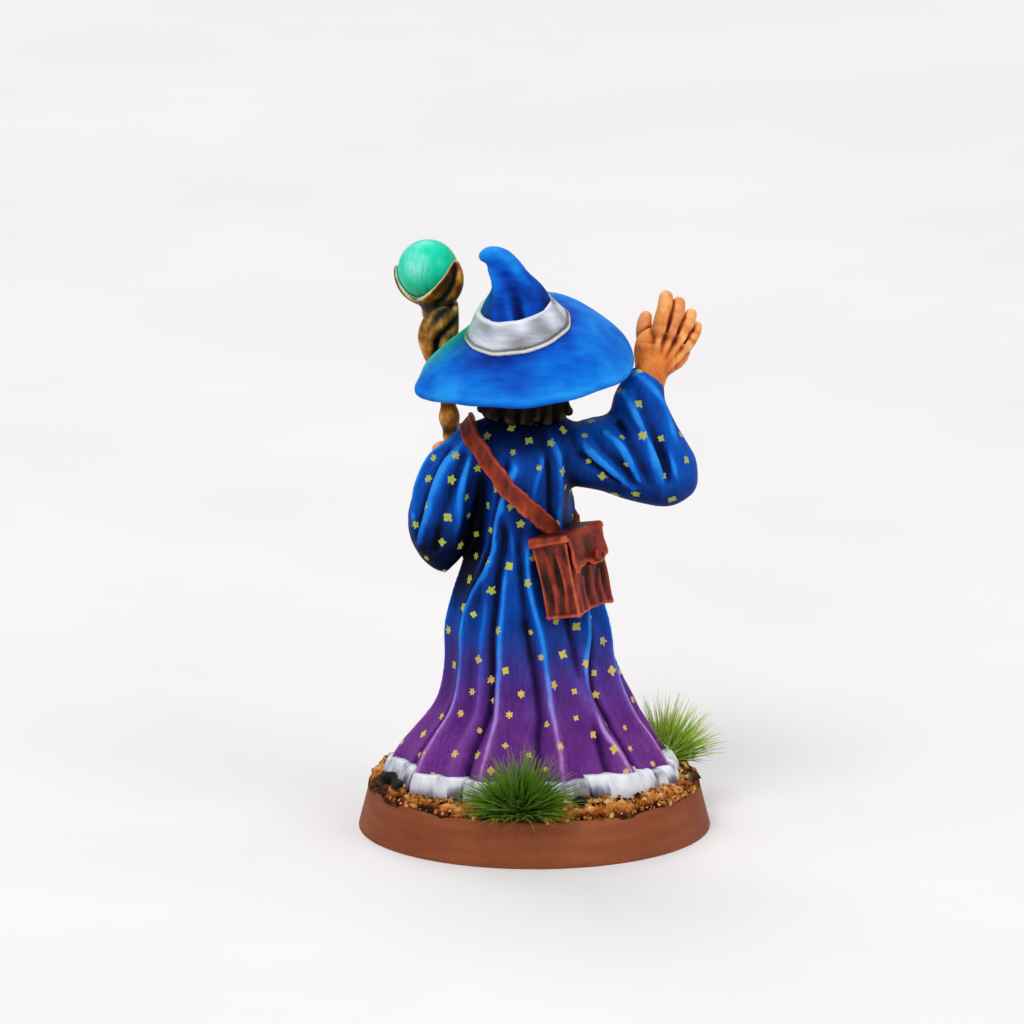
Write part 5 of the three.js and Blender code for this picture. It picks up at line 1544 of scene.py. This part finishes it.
def ground_piece(material):
    """Sand and paste, heaped roughly round the hem and thinning to a ragged edge at the rim."""
    turns, rings = 420, 90
    turn = np.linspace(0, 2 * math.pi, turns, endpoint=False)
    share = np.linspace(0, 1, rings) ** 0.8
    ragged = lattice_noise(np.stack([9 * np.cos(turn), 9 * np.sin(turn), 0 * turn], axis=1), 1.3, 8)
    edge = BASE_TOP_RADIUS - 0.02 + 0.16 * ragged
    radius = 5.0 + (edge[None, :] - 5.0) * share[:, None]
    x, y = radius * np.cos(turn)[None, :], radius * np.sin(turn)[None, :]
    height = ground_height(x.ravel(), y.ravel()).reshape(x.shape)
    fall = smoothstep(1.0, 0.93, share)[:, None]
    z = BASE_TOP + 0.02 + np.maximum(height, 0.08) * (0.12 + 0.88 * fall)
    z[-1] = BASE_TOP - 0.22
    points = np.stack([x.ravel(), y.ravel(), z.ravel()], axis=1)
    faces = ring_faces(rings, turns)[:, ::-1]
    piece = mesh_object("ground_paste", points, faces, "ground", material)
    # Higher ground takes painted highlight, lower ground painted shade.
    raised = np.clip((z - BASE_TOP - 0.2) / 0.9, 0, 1)
    write(piece, "raised", raised.ravel())
    write(piece, "tint", 0.5 + 0.5 * lattice_noise(points, 0.5, 12))


def crumbs_piece(material):
    """Loose grains and crumbs of cork on the paste."""
    rng = np.random.default_rng(21)
    grain, grain_faces = ball(1)
    points, faces, raised, tint = [], [], [], []
    count = 2000
    turn = rng.uniform(0, 2 * math.pi, count)
    radius = BASE_TOP_RADIUS - 0.05 - 4.3 * rng.random(count) ** 1.5
    x, y = radius * np.cos(turn), radius * np.sin(turn)
    height = ground_height(x, y)
    for k in range(count):
        size = 0.09 + 0.2 * rng.random() ** 2
        squash = rng.uniform(0.6, 1.25, 3)
        rough = 1 + 0.28 * rng.standard_normal(len(grain))
        spin = rotation("Z", rng.uniform(0, 360)) @ rotation("X", rng.uniform(0, 360))
        edge = smoothstep(BASE_TOP_RADIUS - 0.1, BASE_TOP_RADIUS - 0.8, radius[k])
        z = BASE_TOP + 0.02 + max(height[k], 0.08) * (0.12 + 0.88 * edge) + 0.25 * size
        lump = (grain * rough[:, None] * squash * size) @ spin.T + (x[k], y[k], z)
        faces.append(grain_faces + len(grain) * k)
        points.append(lump)
        # Each crumb's top is painted lighter than its underside.
        level = np.clip(0.22 + 0.4 * grain[:, 2] + 0.4 * rng.random(), 0, 1)
        raised.append(level)
        tint.append(np.full(len(grain), rng.random()))
    points = np.vstack(points)
    piece = mesh_object("ground_crumbs", points, np.vstack(faces), None, material, smooth=False)
    write(piece, "raised", np.concatenate(raised))
    write(piece, "tint", np.concatenate(tint))


def stone_pieces(material):
    round_points, faces = ball(4)
    for k in range(1, 6):
        name = f"stone_{k}"
        low, high = node_box(name)
        centre, half = (low + high) / 2, (high - low) / 2
        chip = 1 - 0.28 * np.abs(lattice_noise(round_points, 0.9, k))
        chip = chip - 0.12 * np.abs(lattice_noise(round_points, 0.4, k + 9))
        points = centre + round_points * chip[:, None] * half * 1.12
        piece = mesh_object(f"pebble_{k}", points, faces, name, material)
        write(piece, "ridge", (chip - chip.mean()) / chip.std() * 0.6)


def tuft_piece(name, node, material, count, seed, lean, length, spread_out, blade, shift=(0, 0)):
    """A tuft of fine fibres that fan out from a small glued pad."""
    low, high = node_box(node)
    centre = (low + high) / 2
    root = np.array([centre[0] + shift[0], centre[1] + shift[1], BASE_TOP + 0.4])
    rng = np.random.default_rng(seed)
    points, along, tint = [], [], []
    rings = 7
    for _ in range(count):
        turn = rng.uniform(0, 2 * math.pi)
        spread = rng.random() ** 0.6
        start = root + spread * spread_out * np.array([math.cos(turn), math.sin(turn), 0])
        outward = turn + rng.normal(0, 0.8)
        tilt = math.radians(abs(rng.normal(7, 12)) + lean * spread**1.6)
        tall = length * rng.uniform(0.5, 1.05) * (1 - 0.3 * spread)
        c, s = math.cos(outward), math.sin(outward)
        way = np.array([c * math.sin(tilt), s * math.sin(tilt), math.cos(tilt)])
        droop = rng.uniform(0.0, 0.2) + 0.25 * spread
        bend = np.array([c, s, -1.0]) * droop
        side = np.cross(way, (0.3, 0.5, 0.2))
        side /= np.linalg.norm(side)
        other = np.cross(way, side)
        wide = blade * rng.uniform(0.75, 1.2)
        shade = rng.random()
        for i in range(rings):
            t = i / (rings - 1)
            middle_point = start + way * tall * t + bend * tall * t * t * 0.5
            size = wide * (1 - 0.8 * t**2)
            for a in (0.0, 2.1, 4.2):
                points.append(middle_point + size * (math.cos(a) * side + math.sin(a) * other))
                along.append(t)
                tint.append(shade)
    blades = np.arange(count)[:, None, None] * 3 * rings
    faces = (ring_faces(rings, 3) + blades).reshape(-1, 4)
    piece = mesh_object(name, points, faces, node, material)
    write(piece, "raised", along)
    write(piece, "tint", tint)


# ---------------------------------------------------------------- what a painter sees
ROOM_CELL = 0.3


def make_room():
    """The share of solid round each place, at three reaches, for shading hollows."""
    low = np.array(CAD_BOX[0]) / MM - 3
    high = np.array(CAD_BOX[1]) / MM + 3
    counts = np.ceil((high - low) / ROOM_CELL).astype(int) + 1
    axes = [a + ROOM_CELL * np.arange(n) for a, n in zip(low, counts)]
    grid = np.stack(np.meshgrid(*axes, indexing="ij"), axis=-1).reshape(-1, 3)
    solid = np.zeros(len(grid), bool)
    for _, clay, *_ in SCULPTED:
        if clay is not None:
            solid |= clay.at(grid) < 0
    flat = np.hypot(grid[:, 0], grid[:, 1])
    solid |= (grid[:, 2] < BASE_TOP + 0.6) & (flat < BASE_TOP_RADIUS)
    solid |= np.linalg.norm(grid - ORB, axis=1) < ORB_RADIUS
    solid = solid.reshape(counts).astype(np.float32)
    rooms = []
    for reach in (2, 4, 7):
        blurred = solid
        for _ in range(2):
            for axis in range(3):
                total = np.cumsum(blurred, axis=axis)
                margins = [(reach + 1, reach) if k == axis else (0, 0) for k in range(3)]
                padded = np.pad(total, margins, mode="edge")
                ahead = np.take(padded, np.arange(2 * reach + 1, 2 * reach + 1 + counts[axis]), axis=axis)
                behind = np.take(padded, np.arange(0, counts[axis]), axis=axis)
                blurred = (ahead - behind) / (2 * reach + 1)
        rooms.append((reach * ROOM_CELL, blurred))
    return low, rooms


def open_space(skin, low, rooms):
    """1 where a point has free space round it, 0 deep in a hollow."""
    total = np.zeros(len(skin.points))
    for reach, solid in rooms:
        p = (skin.points + skin.normals * reach * 1.1 - low) / ROOM_CELL
        i = np.clip(np.floor(p).astype(int), 0, np.array(solid.shape) - 2)
        t = np.clip(p - i, 0, 1)
        value = np.zeros(len(p))
        for corner in np.ndindex(2, 2, 2):
            c = np.array(corner)
            value += np.prod(np.where(c, t, 1 - t), axis=1) * solid[tuple((i + c).T)]
        total += value
    return np.clip(1.15 - 1.9 * total / len(rooms), 0, 1)


# Painted light: the orb's green glow on nearby faces, strongest where they turn towards it.
def orb_glow(skin):
    away = ORB - skin.points
    gap = np.linalg.norm(away, axis=1)
    facing = np.einsum("ij,ij->i", skin.normals, away) / gap.clip(1e-6)
    return smoothstep(10.6, 4.4, gap) * np.clip(0.5 + 0.75 * facing, 0, 1)


def paint_fields(skin, low, rooms):
    """What a painter sees at each point of a skin."""
    fields = {"ridge": skin.relief(6), "swell": skin.relief(30)}
    fields["space"] = open_space(skin, low, rooms)
    fields["glow"] = orb_glow(skin)
    fields.update({name: getattr(skin, name) for name in ("rim", "edge") if hasattr(skin, name)})
    return fields


def make_sculpted(low, rooms):
    for name, _, skin, node, slot, material in SCULPTED:
        if material is None:  # the cloth, which make_cloth makes as three pieces
            continue
        faces = skin.quads.tolist() + getattr(skin, "caps", [])
        piece = mesh_object(name, skin.points, faces, node, material)
        for field, values in paint_fields(skin, low, rooms).items():
            write(piece, field, values)


def make_cloth(skin, label, low, rooms, material):
    place, form = stars(skin)
    fields = paint_fields(skin, low, rooms)
    for k, node in enumerate(("robe_body", "left_sleeve", "right_sleeve")):
        name = "robe_cloth" if k == 0 else f"{node}_cloth"
        chosen = np.nonzero(label == k)[0]
        used, index = np.unique(skin.quads[chosen].ravel(), return_inverse=True)
        piece = mesh_object(name, skin.points[used], index.reshape(-1, 4), node, material)
        for field, values in fields.items():
            write(piece, field, values[used])
        write(piece, "star_place", place[chosen].reshape(-1, 3), "CORNER")
        write(piece, "star_form", form[chosen].reshape(-1, 3), "CORNER")
        piece.data.normals_split_custom_set_from_vertices(skin.normals[used].tolist())


# ---------------------------------------------------------------- stage
def stage():
    look = Look("studio_floor", roughness=0.9, specular=0.05)
    wear = look.noise(30, 3)
    floor_colour = look.ramp(wear, [(0.3, "f0eeef"), (0.7, "f5f3f4")])
    floor_mesh = bpy.data.meshes.new("floor")
    half = 3.0
    corners = [(-half, -half, 0), (half, -half, 0), (half, half, 0), (-half, half, 0)]
    floor_mesh.from_pydata(corners, [], [(0, 1, 2, 3)])
    floor_mesh.materials.append(look.finish(floor_colour))
    link_object("floor", floor_mesh)
    world = bpy.data.worlds.new("studio")
    world.use_nodes = True
    world.node_tree.nodes["Background"].inputs[0].default_value = (0.975, 0.965, 0.97, 1)
    world.node_tree.nodes["Background"].inputs[1].default_value = 0.48
    bpy.context.scene.world = world
    bpy.context.scene.view_settings.view_transform = "Standard"


def softbox(name, place, size, power):
    light = bpy.data.lights.new(name, "AREA")
    light.shape = "DISK"
    light.size = size
    light.energy = power
    lamp = link_object(name, light)
    lamp.location = place
    aim = Vector((0, 0, 0.02)) - lamp.location
    lamp.rotation_euler = aim.to_track_quat("-Z", "Y").to_euler()


def camera():
    """Looks at the back from 14 degrees up and 1.5 m away, where the picture is 72.5 mm wide."""
    aim = Vector((1.59, 0.0, 22.87)) * MM
    height, away, half_width = math.radians(14), 1.5, 0.03626
    lens = bpy.data.cameras.new("camera")
    lens.sensor_width = 36
    lens.lens = 18 * away / half_width
    lens.clip_start, lens.clip_end = 0.1, 20
    view = link_object("camera", lens)
    view.location = aim + away * Vector((0, math.cos(height), math.sin(height)))
    view.rotation_euler = (aim - view.location).to_track_quat("-Z", "Y").to_euler()
    bpy.context.scene.camera = view


# ---------------------------------------------------------------- everything
def build():
    robe, hat, band, hem = cloth_look(), hat_look(), band_look(), hem_look()
    skin_paint, hair, leather, wood = skin_look(), hair_look(), leather_look(), wood_look()
    clay, left, right = cloth_clay()
    cloth, label = split_cloth(clay, left, right)
    SCULPTED.append(("cloth", clay, cloth, None, "robe", None))
    hem_piece(hem)
    hat_piece(hat)
    band_piece(band)
    head_piece(skin_paint)
    eyes()
    hair_piece(hair)
    beard_piece(hair)
    right_hand_piece(skin_paint)
    left_hand_piece(skin_paint)
    staff_piece(wood)
    claw_piece(wood)
    orb_piece(orb_look())
    satchel_pieces(leather)
    strap_piece(leather)
    low, rooms = make_room()
    make_sculpted(low, rooms)
    make_cloth(cloth, label, low, rooms, robe)
    base_piece(base_look())
    ground = ground_look()
    ground_piece(ground)
    crumbs_piece(ground)
    stone_pieces(stone_look())
    dark_grass = [(0.05, "0a1603"), (0.25, "1b3506"), (0.45, "34620c"), (0.7, "5c8e1c"), (0.98, "8e963c")]
    light_grass = [(0.05, "122406"), (0.25, "34640c"), (0.45, "74aa1c"), (0.7, "b2d244"), (0.98, "e8f094")]
    dark, light = grass_look("dark_grass", dark_grass), grass_look("light_grass", light_grass)
    tuft_piece("grass_back", "tuft_back", dark, 900, 4, 64, 5.0, 1.5, 0.055)
    tuft_piece("grass_side", "tuft_side", light, 640, 9, 44, 5.6, 1.15, 0.05, (0.95, 0.1))


camera()
build()
stage()
softbox("key", (0.2, 0.45, 0.75), 0.45, 3.4)
softbox("fill", (-0.5, 0.4, 0.45), 0.5, 1.2)
softbox("rim", (0.1, -0.5, 0.6), 0.5, 1.5)
